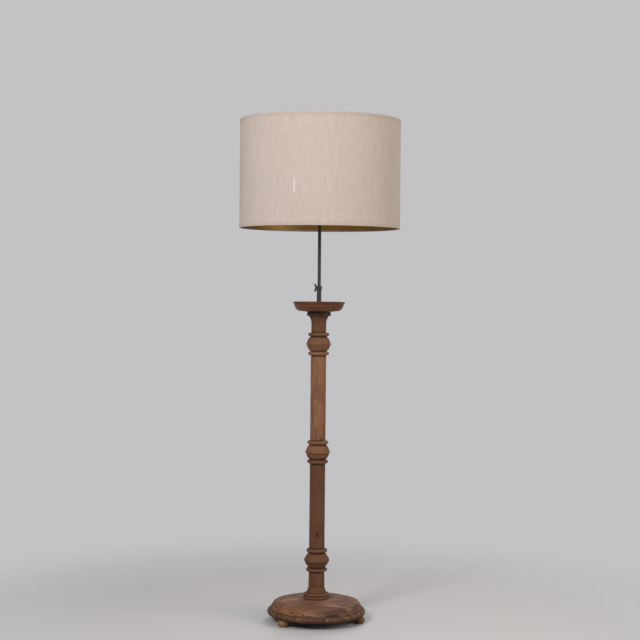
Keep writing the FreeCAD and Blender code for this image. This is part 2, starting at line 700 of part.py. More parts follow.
def knop_above_joint(knop):
    """Outline of a knop from the joint under its bead up to its upper ring."""
    barrel_end = knop + size.barrel_half_length
    if knop is lower_knop:
        outline = [
            corner(size.ridge_flank_radius - size.joint_bevel, knop - size.ridge_joint_drop),
            corner(size.ridge_flank_radius + size.joint_bevel * 0.3,
                   knop - size.ridge_joint_drop + size.joint_bevel),
            corner(size.ridge_radius, knop - size.joint_bevel),
            corner(size.ridge_radius, knop + size.joint_bevel),
            through(size.ridge_flank_radius, knop + size.ridge_joint_drop),
        ]
    else:
        half_bead = size.bead_height / 2
        outline = [
            corner(size.barrel_joint_radius - size.joint_bevel, knop - size.joint_drop),
            corner(size.barrel_joint_radius, knop - size.joint_drop + size.joint_bevel),
            corner(size.barrel_radius, knop - half_bead),
            corner(size.bead_radius - size.joint_bevel * 2, knop - half_bead * 0.55),
            through(size.bead_radius, knop),
            corner(size.bead_radius - size.joint_bevel * 2, knop + half_bead * 0.55),
            corner(size.barrel_radius, knop + half_bead),
            through(size.barrel_belly_radius + 0.9, knop + size.barrel_half_length * 0.62),
        ]
    return outline + [
        corner(size.barrel_waist_radius, barrel_end),
        corner(size.groove_radius, barrel_end + size.groove_width * 0.3),
        corner(size.groove_radius, barrel_end + size.groove_width * 0.7),
    ] + ring_edge(barrel_end + size.groove_width + size.ring_height / 2)


def socket_below(seat):
    """Blind socket in the foot of a section, for the tenon of the section under it."""
    roof = seat + size.tenon_length + size.tenon_gap
    return [corner(wood_bore, roof), corner(tenon_socket, roof), corner(tenon_socket, seat)]


def tenon_above(seat):
    tip = seat + size.tenon_length
    return [corner(size.tenon_radius, seat), corner(size.tenon_radius, tip), corner(wood_bore, tip)]


def make_column():
    foot_ring_top = dome_top + size.foot_ring_height
    skirt_bottom = foot_ring_top + size.skirt_groove
    skirt_top = skirt_bottom + size.skirt_height
    flare_top = skirt_top + size.flare_height
    step_top = flare_top + size.step_height
    swell_top = step_top + size.step_height
    lower_joint = lower_knop - size.ridge_joint_drop
    middle_joint = middle_knop - size.joint_drop
    upper_joint = upper_knop - size.joint_drop
    tenon_foot = dome_top - size.base_tenon_length
    turned("column_foot", [
        corner(wood_bore, tenon_foot),
        corner(size.tenon_radius, tenon_foot),
        corner(size.tenon_radius, dome_top),
        corner(size.foot_ring_radius - size.ring_round, dome_top),
        through(size.foot_ring_radius, dome_top + size.foot_ring_height / 2),
        corner(size.foot_ring_radius - size.ring_round, foot_ring_top),
        corner(size.skirt_radius - size.ring_round * 2, foot_ring_top + size.skirt_groove / 2),
        corner(size.skirt_radius - size.skirt_groove, skirt_bottom),
        through(size.skirt_radius, skirt_bottom + size.skirt_height / 2),
        corner(size.skirt_radius - size.skirt_groove, skirt_top),
        corner(size.flare_radius, skirt_top),
        through((size.flare_radius + size.flare_neck_radius) / 2 - 0.8,
                skirt_top + size.flare_height * 0.42),
        corner(size.flare_neck_radius, flare_top),
        corner(size.flare_neck_radius - 0.6, flare_top + size.step_height * 0.5),
        through((size.flare_neck_radius + size.lower_shaft_swell) / 2 - 0.7,
                flare_top + size.step_height * 0.8),
        corner(size.lower_shaft_swell, swell_top),
    ] + shaft_to_ring(size.shaft_radius, lower_knop) + knop_below_joint(lower_knop)
        + tenon_above(lower_joint))
    for name, joint, knop, next_joint, next_knop in (
            ("column_lower_shaft", lower_joint, lower_knop, middle_joint, middle_knop),
            ("column_upper_shaft", middle_joint, middle_knop, upper_joint, upper_knop)):
        turned(name, socket_below(joint) + knop_above_joint(knop)
               + ring_to_shaft(size.shaft_radius, knop)
               + shaft_to_ring(size.shaft_radius, next_knop)
               + knop_below_joint(next_knop) + tenon_above(next_joint))
    flare_foot = neck_top - size.neck_flare_height
    turned("column_neck", socket_below(upper_joint) + knop_above_joint(upper_knop)
           + ring_to_shaft(size.neck_radius, upper_knop) + [
        corner(size.neck_radius, flare_foot),
        through(size.neck_flare_mid_radius, neck_top - size.neck_flare_height / 2),
        corner(size.neck_flare_radius, neck_top),
        corner(wood_bore, neck_top),
    ])
    turned("capital_ring", [
        corner(wood_bore, neck_top),
        corner(size.capital_radius - size.capital_round, neck_top),
        through(size.capital_radius - size.capital_round * 0.3, neck_top + size.capital_round * 0.3),
        corner(size.capital_radius, neck_top + size.capital_round),
        corner(size.capital_top_radius, pan_bottom),
        corner(wood_bore, pan_bottom),
    ])


def make_drip_pan():
    lip_bottom = pan_top - size.pan_lip_height
    bowl_radius = size.pan_radius - size.pan_lip_overhang
    floor_height = pan_bottom + size.pan_floor
    turned("drip_pan", [
        corner(wood_bore, pan_bottom),
        corner(size.pan_foot_radius, pan_bottom),
        corner(size.pan_radius - size.pan_turn_inset, pan_bottom + size.pan_turn_rise),
        through(size.pan_radius - size.pan_side_inset, pan_bottom + size.pan_side_rise),
        corner(bowl_radius, lip_bottom),
        corner(size.pan_radius - 0.5, lip_bottom + 1.0),
        through(size.pan_radius, pan_top - size.pan_lip_height / 2),
        corner(size.pan_radius - 0.8, pan_top),
        corner(bowl_radius - size.pan_wall * 0.6, pan_top),
        through(bowl_radius - size.pan_wall * 1.4, floor_height + size.pan_side_rise * 0.6),
        corner(size.pan_radius - size.pan_turn_inset - size.pan_wall, floor_height),
        corner(wood_bore, floor_height),
    ])


# ----------------------------------------------------------------------------------------------
# Tie tube, telescopic rod and wing screw
# ----------------------------------------------------------------------------------------------
def make_washer_and_nut(prefix, bottom, nut_above):
    """Washer and hexagon nut on the tie tube, stacked upwards or downwards from the wood."""
    bore = size.tube_radius + size.thread_gap
    washer_bottom = bottom if nut_above else bottom - size.washer_thickness
    turned(f"{prefix}_washer", tube_outline(bore, size.washer_radius, washer_bottom,
                                            washer_bottom + size.washer_thickness))
    nut_bottom = washer_bottom + size.washer_thickness if nut_above else washer_bottom - size.nut_height
    nut = new_body(f"{prefix}_nut")
    sketch = new_sketch(nut, "hexagon", "XY_Plane", nut_bottom)
    draw_outline(sketch, hexagon(size.nut_radius))
    draw_circle(sketch, bore)
    pad(nut, sketch, size.nut_height, "block")


def make_tube_and_collar():
    turned("stem_tube", tube_outline(tube_bore, size.tube_radius, tube_bottom, tube_top))
    make_washer_and_nut("lower", recess_top, nut_above=False)
    make_washer_and_nut("upper", pan_bottom + size.pan_floor, nut_above=True)
    rod_hole = size.rod_radius + size.running_gap
    socket = size.tube_radius + size.thread_gap
    collar = turned("clamp_collar", [
        corner(rod_hole, tube_top),
        corner(socket, tube_top),
        corner(socket, collar_bottom),
        corner(size.collar_radius - size.collar_round * 0.5, collar_bottom),
        corner(size.collar_radius, collar_bottom + size.collar_round * 0.5),
        corner(size.collar_radius, collar_top - size.collar_round),
        corner(size.collar_radius - size.collar_round, collar_top),
        corner(rod_hole, collar_top),
    ])
    hole = new_sketch(collar, "clamp_hole_circle", "YZ_Plane")
    draw_circle(hole, size.clamp_screw_radius + size.thread_gap, 0.0, clamp_height)
    cut(collar, hole, size.collar_radius * 2, "clamp_hole")


def clip_heights():
    """Undersides of the lower and the upper clip, and the foot of the rod."""
    upper = guide_top + size.end_gap
    lower = guide_top - size.guide_length - size.end_gap - size.clip_thickness
    return lower, upper, lower - size.rod_toe


def make_rod():
    lower_clip, upper_clip, rod_foot = clip_heights()
    groove = size.rod_radius - size.clip_depth
    outline = [corner(size.rod_bore_radius, rod_foot), corner(size.rod_radius, rod_foot)]
    for clip in (lower_clip, upper_clip):
        outline += [
            corner(size.rod_radius, clip),
            corner(groove, clip),
            corner(groove, clip + size.clip_thickness),
            corner(size.rod_radius, clip + size.clip_thickness),
        ]
    turned("stem_rod", outline + [
        corner(size.rod_radius, rod_top),
        corner(size.rod_bore_radius, rod_top),
    ])
    clips = new_body("rod_clips")
    for label, clip in (("lower", lower_clip), ("upper", upper_clip)):
        sketch = new_sketch(clips, f"{label}_circles", "XY_Plane", clip)
        draw_circle(sketch, size.rod_radius + size.clip_stand)
        draw_circle(sketch, groove)
        pad(clips, sketch, size.clip_thickness, f"{label}_ring")
    gap_width = size.rod_bore_radius * 0.8
    slot = new_sketch(clips, "slot_outline", "XY_Plane", lower_clip)
    draw_outline(slot, [
        corner(0.0, -gap_width),
        corner(size.rod_radius + size.clip_stand + 1.0, -gap_width),
        corner(size.rod_radius + size.clip_stand + 1.0, gap_width),
        corner(0.0, gap_width),
    ])
    cut(clips, slot, upper_clip + size.clip_thickness - lower_clip, "slot", along_normal=True)
    turned("rod_guide_bush", tube_outline(size.rod_radius + size.running_gap,
                                          tube_bore - size.running_gap,
                                          guide_top - size.guide_length, guide_top))


def make_wing_screw():
    """The screw's own Z points away from the collar, to -X, and its origin is on the lamp's axis."""
    pad_start = size.rod_radius + size.clamp_pad_gap
    pad_stop = pad_start + size.clamp_pad_length
    outward = Rotation(Vector(0, 0, 1), Vector(-1, 0, 0))
    pressure_pad = turned("clamp_pad", [
        corner(0.0, pad_start),
        corner(size.clamp_screw_radius - size.clamp_pad_gap, pad_start),
        corner(size.clamp_screw_radius - size.clamp_pad_gap, pad_stop),
        corner(0.0, pad_stop),
    ])
    place(pressure_pad, up=clamp_height, rotation=outward)
    boss_start = size.collar_radius + size.wing_stand
    boss_stop = boss_start + size.wing_boss_length
    screw = turned("wing_screw", [
        corner(0.0, pad_stop + size.clamp_pad_gap),
        corner(size.clamp_screw_radius, pad_stop + size.clamp_pad_gap),
        corner(size.clamp_screw_radius, boss_start),
        corner(size.wing_boss_radius, boss_start),
        corner(size.wing_boss_radius, boss_stop - 1.0),
        corner(size.wing_boss_radius - 1.0, boss_stop),
        corner(0.0, boss_stop),
    ])
    web_height = boss_start + size.wing_boss_length / 2
    tip_height = web_height + size.wing_sweep
    root = size.wing_boss_length / 2 - 0.3
    for label, sign in (("upper", 1), ("lower", -1)):
        web = new_sketch(screw, f"{label}_web_outline", "XZ_Plane")
        draw_outline(web, [
            corner(0.0, web_height - root),
            corner(size.wing_span * sign, tip_height - size.wing_tip_radius * 0.8),
            corner(size.wing_span * sign, tip_height + size.wing_tip_radius * 0.8),
            corner(0.0, web_height + root),
        ])
        pad(screw, web, size.wing_thickness * 0.8, f"{label}_web", both_ways=True)
        tip = new_sketch(screw, f"{label}_tip_circle", "XZ_Plane")
        draw_circle(tip, size.wing_tip_radius, size.wing_span * sign, tip_height)
        pad(screw, tip, size.wing_thickness, f"{label}_tip", both_ways=True)
    place(screw, up=clamp_height, rotation=outward)


# ----------------------------------------------------------------------------------------------
# Harp, lampholder and bulb
# ----------------------------------------------------------------------------------------------
def leg_offset():
    return size.saddle_half_length + size.harp_wire_radius + size.thread_gap


def make_saddle():
    saddle = new_body("harp_saddle")
    outline = new_sketch(saddle, "bend_outline", "YZ_Plane")
    outer = size.saddle_half_length
    inner = outer - size.saddle_thickness
    tab_top = holder_foot + size.saddle_tab_height
    draw_outline(outline, [
        corner(-outer, rod_top),
        corner(outer, rod_top),
        corner(outer, tab_top),
        corner(inner, tab_top),
        corner(inner, holder_foot),
        corner(-inner, holder_foot),
        corner(-inner, tab_top),
        corner(-outer, tab_top),
    ])
    pad(saddle, outline, size.saddle_width, "strip", both_ways=True)
    hole = new_sketch(saddle, "nipple_hole_circle", "XY_Plane", rod_top)
    draw_circle(hole, size.rod_bore_radius)
    cut(saddle, hole, size.saddle_thickness, "nipple_hole", along_normal=True)
    narrowing = new_sketch(saddle, "tab_sides", "XZ_Plane")
    tab_half = size.harp_wire_radius * 1.4
    for sign in (1, -1):
        draw_outline(narrowing, [
            corner(tab_half * sign, holder_foot + size.saddle_thickness),
            corner(size.saddle_width * sign, holder_foot + size.saddle_thickness),
            corner(size.saddle_width * sign, tab_top + 1.0),
            corner(tab_half * sign, tab_top + 1.0),
        ])
    cut(saddle, narrowing, outer * 4, "tabs", both_ways=True)


def make_harp():
    leg = leg_offset()
    wide = size.harp_half_width
    flat = size.harp_top_half_width
    foot = holder_foot + size.harp_foot_rise
    top = spider_bottom - size.stud_flange_thickness - size.harp_wire_radius * 1.8
    waist = foot + size.saddle_tab_height * 1.5
    # each leg swings out in two arcs of an eighth turn, and the top closes in a quarter turn
    eighth = cos(radians(45))
    sixteenth = cos(radians(22.5))
    swing = (wide - leg) / (2 * (1 - eighth))
    belly = waist + swing * 2 * eighth
    crown = wide - flat

    def side(sign):
        return [
            corner(leg * sign, foot),
            corner(leg * sign, waist),
            through((leg + swing * (1 - sixteenth)) * sign, waist + swing * sin(radians(22.5))),
            corner((leg + wide) / 2 * sign, (waist + belly) / 2),
            through((wide - swing * (1 - sixteenth)) * sign, belly - swing * sin(radians(22.5))),
            corner(wide * sign, belly),
            corner(wide * sign, top - crown),
            through((flat + crown * eighth) * sign, top - crown + crown * eighth),
            corner(flat * sign, top),
        ]

    bow = new_body("harp_bow")
    path = new_sketch(bow, "wire_path", "YZ_Plane")
    edges = draw_outline(path, side(1) + side(-1)[::-1], closed=False)
    section = new_sketch(bow, "wire_section", "XY_Plane", foot)
    draw_circle(section, size.harp_wire_radius, 0.0, leg)
    pipe = bow.newObject("PartDesign::AdditivePipe", "harp_bow_wire")
    pipe.Profile = section
    pipe.Spine = (path, [f"Edge{number + 1}" for number in range(len(edges))])
    pipe.Transition = "Round corner"
    bow.Tip = pipe
    doc.recompute()

    ferrule_foot = foot + size.saddle_thickness
    ferrules = new_body("harp_ferrules")
    inner = size.harp_wire_radius + size.saddle_thickness * 1.15
    for label, sign in (("rear", 1), ("front", -1)):
        sketch = new_sketch(ferrules, f"{label}_circles", "XY_Plane", ferrule_foot)
        middle = (leg - size.saddle_thickness * 0.75) * sign
        draw_circle(sketch, inner + size.ferrule_wall, 0.0, middle)
        draw_circle(sketch, inner, 0.0, middle)
        pad(ferrules, sketch, size.ferrule_height, f"{label}_sleeve")

    flange_bottom = spider_bottom - size.stud_flange_thickness
    stud = turned("harp_stud", [
        corner(0.0, top - size.harp_wire_radius * 1.8),
        corner(size.stud_body_radius, top - size.harp_wire_radius * 1.8),
        corner(size.stud_body_radius, flange_bottom),
        corner(size.stud_flange_radius, flange_bottom),
        corner(size.stud_flange_radius, spider_bottom),
        corner(size.stud_radius, spider_bottom),
        corner(size.stud_radius, spider_bottom + size.stud_length),
        corner(0.0, spider_bottom + size.stud_length),
    ])
    wire_hole = new_sketch(stud, "wire_hole_circle", "XZ_Plane")
    draw_circle(wire_hole, size.harp_wire_radius + size.thread_gap, 0.0, top)
    cut(stud, wire_hole, size.stud_body_radius * 4, "wire_hole", both_ways=True)


def make_lampholder():
    nipple_radius = size.rod_bore_radius - size.thread_gap
    core_bottom = holder_foot + size.holder_core_start
    core_top = core_bottom + size.holder_core_height
    cap_inner = size.holder_radius - size.holder_cap_wall
    shell_radius = cap_inner - size.holder_fit
    sleeve_radius = shell_radius - size.holder_shell_wall - size.holder_fit
    core_radius = sleeve_radius - size.holder_sleeve_wall - size.holder_fit
    shell_bottom = holder_foot + size.holder_shell_start
    shell_top = holder_foot + size.holder_shell_top
    neck_top_height = holder_foot + size.holder_neck_height
    turned("holder_nipple", tube_outline(size.nipple_bore_radius, nipple_radius,
                                         rod_top - size.nipple_grip, neck_top_height))
    turned("holder_cap", [
        corner(size.rod_bore_radius, holder_foot),
        corner(size.holder_neck_radius, holder_foot),
        corner(size.holder_neck_radius, neck_top_height - size.holder_cap_wall * 2),
        corner(size.holder_radius, shell_bottom - size.holder_cap_wall * 2),
        corner(size.holder_radius, holder_foot + size.holder_cap_height),
        corner(cap_inner, holder_foot + size.holder_cap_height),
        corner(cap_inner, shell_bottom - size.holder_cap_wall),
        corner(size.holder_neck_radius, neck_top_height),
        corner(size.rod_bore_radius, neck_top_height),
    ])
    knob_axis = holder_foot + size.knob_height
    for name, radius, wall, top in (
            ("holder_shell", shell_radius, size.holder_shell_wall, shell_top),
            ("holder_sleeve", sleeve_radius, size.holder_sleeve_wall, shell_top - 2.0)):
        shell = turned(name, tube_outline(radius - wall, radius, shell_bottom, top))
        hole = new_sketch(shell, "knob_hole_circle", "YZ_Plane")
        draw_circle(hole, size.knob_hole_radius, 0.0, knob_axis)
        cut(shell, hole, size.holder_radius * 2, "knob_hole", along_normal=True)
    core = turned("holder_core", [
        corner(0.0, core_bottom),
        corner(core_radius, core_bottom),
        corner(core_radius, core_top),
        corner(0.0, core_top),
    ])
    drill_ring(core, "terminal_hole", size.terminal_offset, as_size(90.0), as_size(2),
               size.terminal_radius + size.thread_gap, core_bottom, size.terminal_grip + 1.0)
    knob_bore = new_sketch(core, "knob_bore_circle", "YZ_Plane",
                           core_radius - size.knob_shaft_depth - 1.0)
    draw_circle(knob_bore, size.knob_shaft_radius + size.running_gap, 0.0, knob_axis)
    cut(core, knob_bore, size.holder_radius, "knob_bore", along_normal=True)
    screw_ring("terminal_screws", size.terminal_offset, as_size(90.0), as_size(2),
               size.terminal_head_radius, size.terminal_head_height, size.terminal_radius,
               core_bottom, size.terminal_grip)
    thread_inner = size.thread_shell_radius - size.thread_shell_wall
    turned("thread_shell", [
        corner(size.contact_radius * 2, core_top),
        corner(size.thread_shell_radius, core_top),
        corner(size.thread_shell_radius, core_top + size.thread_shell_height),
        corner(thread_inner, core_top + size.thread_shell_height),
        corner(thread_inner, core_top + size.thread_shell_wall),
        corner(size.contact_radius * 2, core_top + size.thread_shell_wall),
    ])
    turned("centre_contact", [
        corner(0.0, core_top),
        corner(size.contact_radius, core_top),
        corner(size.contact_radius * 0.7, core_top + size.contact_height),
        corner(0.0, core_top + size.contact_height),
    ])
    knob_start = shell_radius + size.knob_stand
    grip_start = knob_start + size.knob_boss_length
    knob = turned("switch_knob", [
        corner(0.0, core_radius - size.knob_shaft_depth),
        corner(size.knob_shaft_radius, core_radius - size.knob_shaft_depth),
        corner(size.knob_shaft_radius, knob_start),
        corner(size.knob_boss_radius, knob_start),
        corner(size.knob_boss_radius, grip_start),
        corner(0.0, grip_start),
    ])
    grip = new_sketch(knob, "grip_outline", "XZ_Plane")
    half = size.knob_grip_width / 2
    grip_stop = grip_start + size.knob_grip_length
    draw_outline(grip, [
        corner(-half * 0.6, grip_start - 1.0),
        corner(half * 0.6, grip_start - 1.0),
        corner(half, grip_start + 1.5),
        corner(half, grip_stop - 2.0),
        through(0.0, grip_stop),
        corner(-half, grip_stop - 2.0),
        corner(-half, grip_start + 1.5),
    ])
    pad(knob, grip, size.knob_grip_thickness, "grip", both_ways=True)
    place(knob, up=knob_axis, rotation=Rotation(Vector(0, 1, 0), 90))


def make_bulb():
    core_top = holder_foot + size.holder_core_start + size.holder_core_height
    contact_foot = core_top + size.contact_height
    contact_top = contact_foot + size.bulb_contact_height
    cap_top = contact_top + size.bulb_cap_height
    glass_top = cap_top + size.bulb_height
    turned("bulb_contact", [
        corner(0.0, contact_foot),
        corner(size.bulb_contact_radius * 0.8, contact_foot),
        corner(size.bulb_contact_radius, contact_top),
        corner(0.0, contact_top),
    ])
    turned("bulb_cap", [
        corner(0.0, contact_top),
        corner(size.bulb_contact_radius * 1.2, contact_top),
        corner(size.bulb_cap_radius, contact_top + size.bulb_contact_height * 2),
        corner(size.bulb_cap_radius, cap_top),
        corner(0.0, cap_top),
    ])
    globe_height = glass_top - size.bulb_radius

    def glass_side(inset):
        """Neck to globe to crown, drawn in by the wall for the inside."""
        return [
            corner(size.bulb_neck_radius - inset, cap_top + inset),
            through((size.bulb_neck_radius + size.bulb_radius) / 2 - inset,
                    cap_top + size.bulb_height * 0.32),
            corner(size.bulb_radius - inset, globe_height),
            through((size.bulb_radius - inset) * cos(radians(45)),
                    globe_height + (size.bulb_radius - inset) * sin(radians(45))),
            corner(0.0, glass_top - inset),
        ]

    turned("bulb_glass", [corner(0.0, cap_top)] + glass_side(as_size(0.0))
           + glass_side(size.bulb_wall)[::-1] + [corner(0.0, cap_top + size.bulb_wall)])


# ----------------------------------------------------------------------------------------------
# Shade
# ----------------------------------------------------------------------------------------------
def make_shade():
    cover_inner = size.shade_radius - size.shade_cover_wall
    turned("shade_cover", tube_outline(cover_inner, size.shade_radius, shade_bottom, shade_top))
    turned("shade_liner", tube_outline(shade_liner_radius - size.shade_liner_wall,
                                       shade_liner_radius, shade_bottom, shade_top))
    hem_inner = size.shade_radius + size.shade_glue_gap
    hem_outer = hem_inner + size.hem_wall
    lip_inner = shade_liner_radius - size.shade_liner_wall
    for name, edge, sign in (("hem_top", shade_top, 1), ("hem_bottom", shade_bottom, -1)):
        leg_end = edge - size.hem_height * sign
        turned(name, [
            corner(hem_inner, leg_end),
            corner(hem_outer, leg_end),
            corner(hem_outer, edge + size.hem_wall * sign),
            corner(lip_inner, edge + size.hem_wall * sign),
            corner(lip_inner, edge),
            corner(hem_inner, edge),
        ])
    ring_centre = shade_bottom + size.shade_wire_radius
    ring = doc.addObject("Part::Torus", "shade_ring_bottom")
    ring.Label = "shade_ring_bottom"
    ring.setExpression("Radius1", shade_wire_circle.formula)
    ring.setExpression("Radius2", size.shade_wire_radius.formula)
    ring.setExpression("Placement.Base.z", ring_centre.formula)


def make_spider():
    """Top ring of the shade with its hub and arms, welded into one piece."""
    ring_height = shade_top - size.shade_wire_radius
    ring = doc.addObject("Part::Torus", "spider_ring")
    ring.setExpression("Radius1", shade_wire_circle.formula)
    ring.setExpression("Radius2", size.shade_wire_radius.formula)
    ring.setExpression("Placement.Base.z", ring_height.formula)
    hub = doc.addObject("Part::Cylinder", "spider_hub_disc")
    hub.setExpression("Radius", size.spider_hub_radius.formula)
    hub.setExpression("Height", size.spider_hub_thickness.formula)
    hub.setExpression("Placement.Base.z", spider_bottom.formula)
    pieces = [ring, hub]
    arm_start = size.finial_radius + size.spider_arm_radius
    arm_run = shade_wire_circle - arm_start
    arm_low = spider_top + size.spider_arm_radius * 0.5
    arm_rise = ring_height - arm_low
    for index in range(SPIDER_ARMS):
        arm = doc.addObject("Part::Cylinder", f"spider_arm_{index + 1}")
        angle = size.spider_first_angle + index * 360.0 / SPIDER_ARMS
        arm.setExpression("Radius", size.spider_arm_radius.formula)
        length = f"sqrt({arm_run.formula} ^ 2 + {arm_rise.formula} ^ 2)"
        arm.setExpression("Height", length)
        arm.setExpression("Placement.Base.x", (arm_start * cosine(angle)).formula)
        arm.setExpression("Placement.Base.y", (arm_start * sine(angle)).formula)
        arm.setExpression("Placement.Base.z", arm_low.formula)
        tilt = f"90 deg - atan({arm_rise.formula} / {arm_run.formula})"
        arm.setExpression("Placement.Rotation.Yaw", angle.formula)
        arm.setExpression("Placement.Rotation.Pitch", tilt)
        pieces.append(arm)
    welded = doc.addObject("Part::MultiFuse", "spider_weld")
    welded.Shapes = pieces
    hole = doc.addObject("Part::Cylinder", "spider_hub_hole")
    hole.setExpression("Radius", (size.stud_radius + size.thread_gap).formula)
    hole.setExpression("Height", (size.spider_hub_thickness * 6.0).formula)
    hole.setExpression("Placement.Base.z", (spider_bottom - size.spider_hub_thickness).formula)
    spider = doc.addObject("Part::Cut", "shade_spider")
    spider.Label = "shade_spider"
    spider.Base = welded
    spider.Tool = hole
    doc.recompute()


def make_finial():
    bore = size.stud_radius + size.thread_gap
    ball_centre = spider_top + size.finial_height - size.finial_radius
    ball_foot = size.finial_radius * cos(radians(45))
    neck = bore + size.finial_wall
    bore_top = spider_bottom + size.stud_length + size.thread_gap
    turned("finial", [
        corner(bore, spider_top),
        corner(size.finial_radius, spider_top),
        corner(size.finial_radius, spider_top + size.finial_wall * 2),
        corner(neck, spider_top + size.finial_wall * 4),
        corner(neck, ball_centre - ball_foot - size.finial_wall),
        corner(ball_foot, ball_centre - ball_foot),
        through(size.finial_radius, ball_centre),
        corner(0.0, ball_centre + size.finial_radius),
        corner(0.0, bore_top),
        corner(bore, bore_top),
    ])


# ----------------------------------------------------------------------------------------------
# Build, check and write
# ----------------------------------------------------------------------------------------------
def sub_parts():
    """Every sub-part of the lamp: the bodies, the wire ring and the spider."""
    bodies = [item for item in doc.Objects if item.TypeId == "PartDesign::Body"]
    return bodies + [doc.getObject("shade_ring_bottom"), doc.getObject("shade_spider")]


def check_document():
    for item in doc.Objects:
        if "Invalid" in item.State or "Error" in item.State:
            raise RuntimeError(f"{item.Label} failed: {item.State}")
    for item in sub_parts():
        if item.Shape.isNull() or not item.Shape.isValid():
            raise RuntimeError(f"{item.Label} has no valid shape")


make_feet()
make_base_plate()
make_base_dome()
make_base_fasteners()
make_outlet_bush()
make_column()
make_drip_pan()
make_tube_and_collar()
make_rod()
make_wing_screw()
make_saddle()
make_harp()
make_lampholder()
make_bulb()
make_shade()
make_spider()
make_finial()
doc.recompute()
check_document()
os.makedirs("parts", exist_ok=True)
for item in sub_parts():
    item.Shape.exportStep(f"parts/{item.Label}.step")
    print(f"{item.Label}: {len(item.Shape.Solids)} solid(s), {item.Shape.Volume / 1000:.1f} cm3")
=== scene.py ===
import json
from math import asin, atan2, cos, hypot, pi, radians, sin, tau

import bmesh
import bpy
from bpy.props import FloatProperty, FloatVectorProperty, IntProperty, PointerProperty
from bpy.types import Operator, Panel, PropertyGroup
from mathutils import Matrix, Vector, noise


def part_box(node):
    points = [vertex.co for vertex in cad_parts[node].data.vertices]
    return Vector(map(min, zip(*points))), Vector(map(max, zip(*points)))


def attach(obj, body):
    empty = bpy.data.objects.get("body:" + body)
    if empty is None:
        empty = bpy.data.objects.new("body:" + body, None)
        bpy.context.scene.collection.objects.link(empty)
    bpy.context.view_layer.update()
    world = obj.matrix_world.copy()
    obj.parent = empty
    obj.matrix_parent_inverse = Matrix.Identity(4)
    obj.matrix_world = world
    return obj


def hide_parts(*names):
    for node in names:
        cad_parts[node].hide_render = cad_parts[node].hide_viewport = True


# Looks of a candlestick floor lamp, made around its frame. Metres; +Z is up and the front faces -Y.

bl_info = {
    "name": "Candlestick floor lamp",
    "version": (1, 0, 0),
    "blender": (4, 5, 0),
    "location": "View3D > Sidebar > Lamp",
    "description": "Turns, weaves and lights a candlestick floor lamp around its frame",
    "category": "Object",
}

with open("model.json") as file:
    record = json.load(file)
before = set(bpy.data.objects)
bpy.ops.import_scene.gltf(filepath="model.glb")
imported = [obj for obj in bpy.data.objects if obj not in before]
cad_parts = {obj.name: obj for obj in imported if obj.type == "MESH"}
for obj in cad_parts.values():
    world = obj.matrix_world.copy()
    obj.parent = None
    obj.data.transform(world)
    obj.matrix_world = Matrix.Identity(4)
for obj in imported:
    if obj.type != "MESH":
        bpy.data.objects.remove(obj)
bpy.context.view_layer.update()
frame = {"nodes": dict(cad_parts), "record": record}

MM = 0.001
FRONT = -pi / 2
REAR = pi / 2
AXIS = Vector((0, 0, 0))
FOOT_SIDES = ("rear", "left", "right")
COLUMN_SECTIONS = ("column_foot", "column_lower_shaft", "column_upper_shaft", "column_neck")


# ----------------------------------------------------------------------------------------------
# Settings
# ----------------------------------------------------------------------------------------------
def length(name, description, default):
    return FloatProperty(name=name, description=description, default=default, unit="LENGTH",
                         precision=4)


def colour(name, description, default):
    return FloatVectorProperty(name=name, description=description, default=default, subtype="COLOR",
                               size=3, min=0.0, max=1.0)


class LampTimberSettings(PropertyGroup):
    steps: IntProperty(name="Steps", description="Faces around a turned piece", default=96, min=24)
    wave: length("Unevenness", "How far a turned surface strays from true", 0.35 * MM)
    chip: length("Chips", "Depth of the wear on the sharpest edges", 1.4 * MM)
    column_light: colour("Column, light", "Light fibres of the column", (0.41, 0.215, 0.122))
    column_mid: colour("Column", "Wood of the column", (0.275, 0.130, 0.069))
    column_dark: colour("Column, dark", "Dark fibres of the column", (0.075, 0.028, 0.011))
    base_light: colour("Base, light", "Pale streaks of the boards", (0.285, 0.158, 0.092))
    base_mid: colour("Base", "Wood of the boards", (0.178, 0.083, 0.043))
    base_dark: colour("Base, dark", "Dark streaks of the boards", (0.082, 0.034, 0.018))
    pan_light: colour("Pan, light", "Light fibres of the drip pan", (0.175, 0.072, 0.029))
    pan_mid: colour("Pan", "Wood of the drip pan", (0.140, 0.046, 0.016))
    pan_dark: colour("Pan, dark", "Dark fibres of the drip pan", (0.05, 0.015, 0.006))
    foot_light: colour("Feet, light", "Light fibres of the feet", (0.46, 0.26, 0.11))
    foot_mid: colour("Feet", "Wood of the feet", (0.275, 0.142, 0.058))
    foot_dark: colour("Feet, dark", "Dark fibres of the feet", (0.13, 0.06, 0.024))
    # Dark wax, also used as painted shade in hollows, below the pan, in the base's groove and on its
    # lower board
    wax_and_shade: colour("Old wax", "Dark wax left in the hollows", (0.022, 0.009, 0.004))


class LampMetalSettings(PropertyGroup):
    boss: length("Boss", "Length of the wing screw's boss", 4.2 * MM)
    wing: length("Wing", "Radius of a wing's round tip", 3.6 * MM)
    thickness: length("Wing thickness", "Thickness of the wings", 3.2 * MM)
    edge: length("Edge", "Rounding of the wings' edges", 0.9 * MM)
    black: colour("Black", "Blackened steel of the stem", (0.022, 0.018, 0.019))
    zinc: colour("Zinc", "Plated steel of fasteners and wires", (0.30, 0.30, 0.305))
    brass: colour("Brass", "Lampholder, harp and finial", (0.62, 0.44, 0.17))


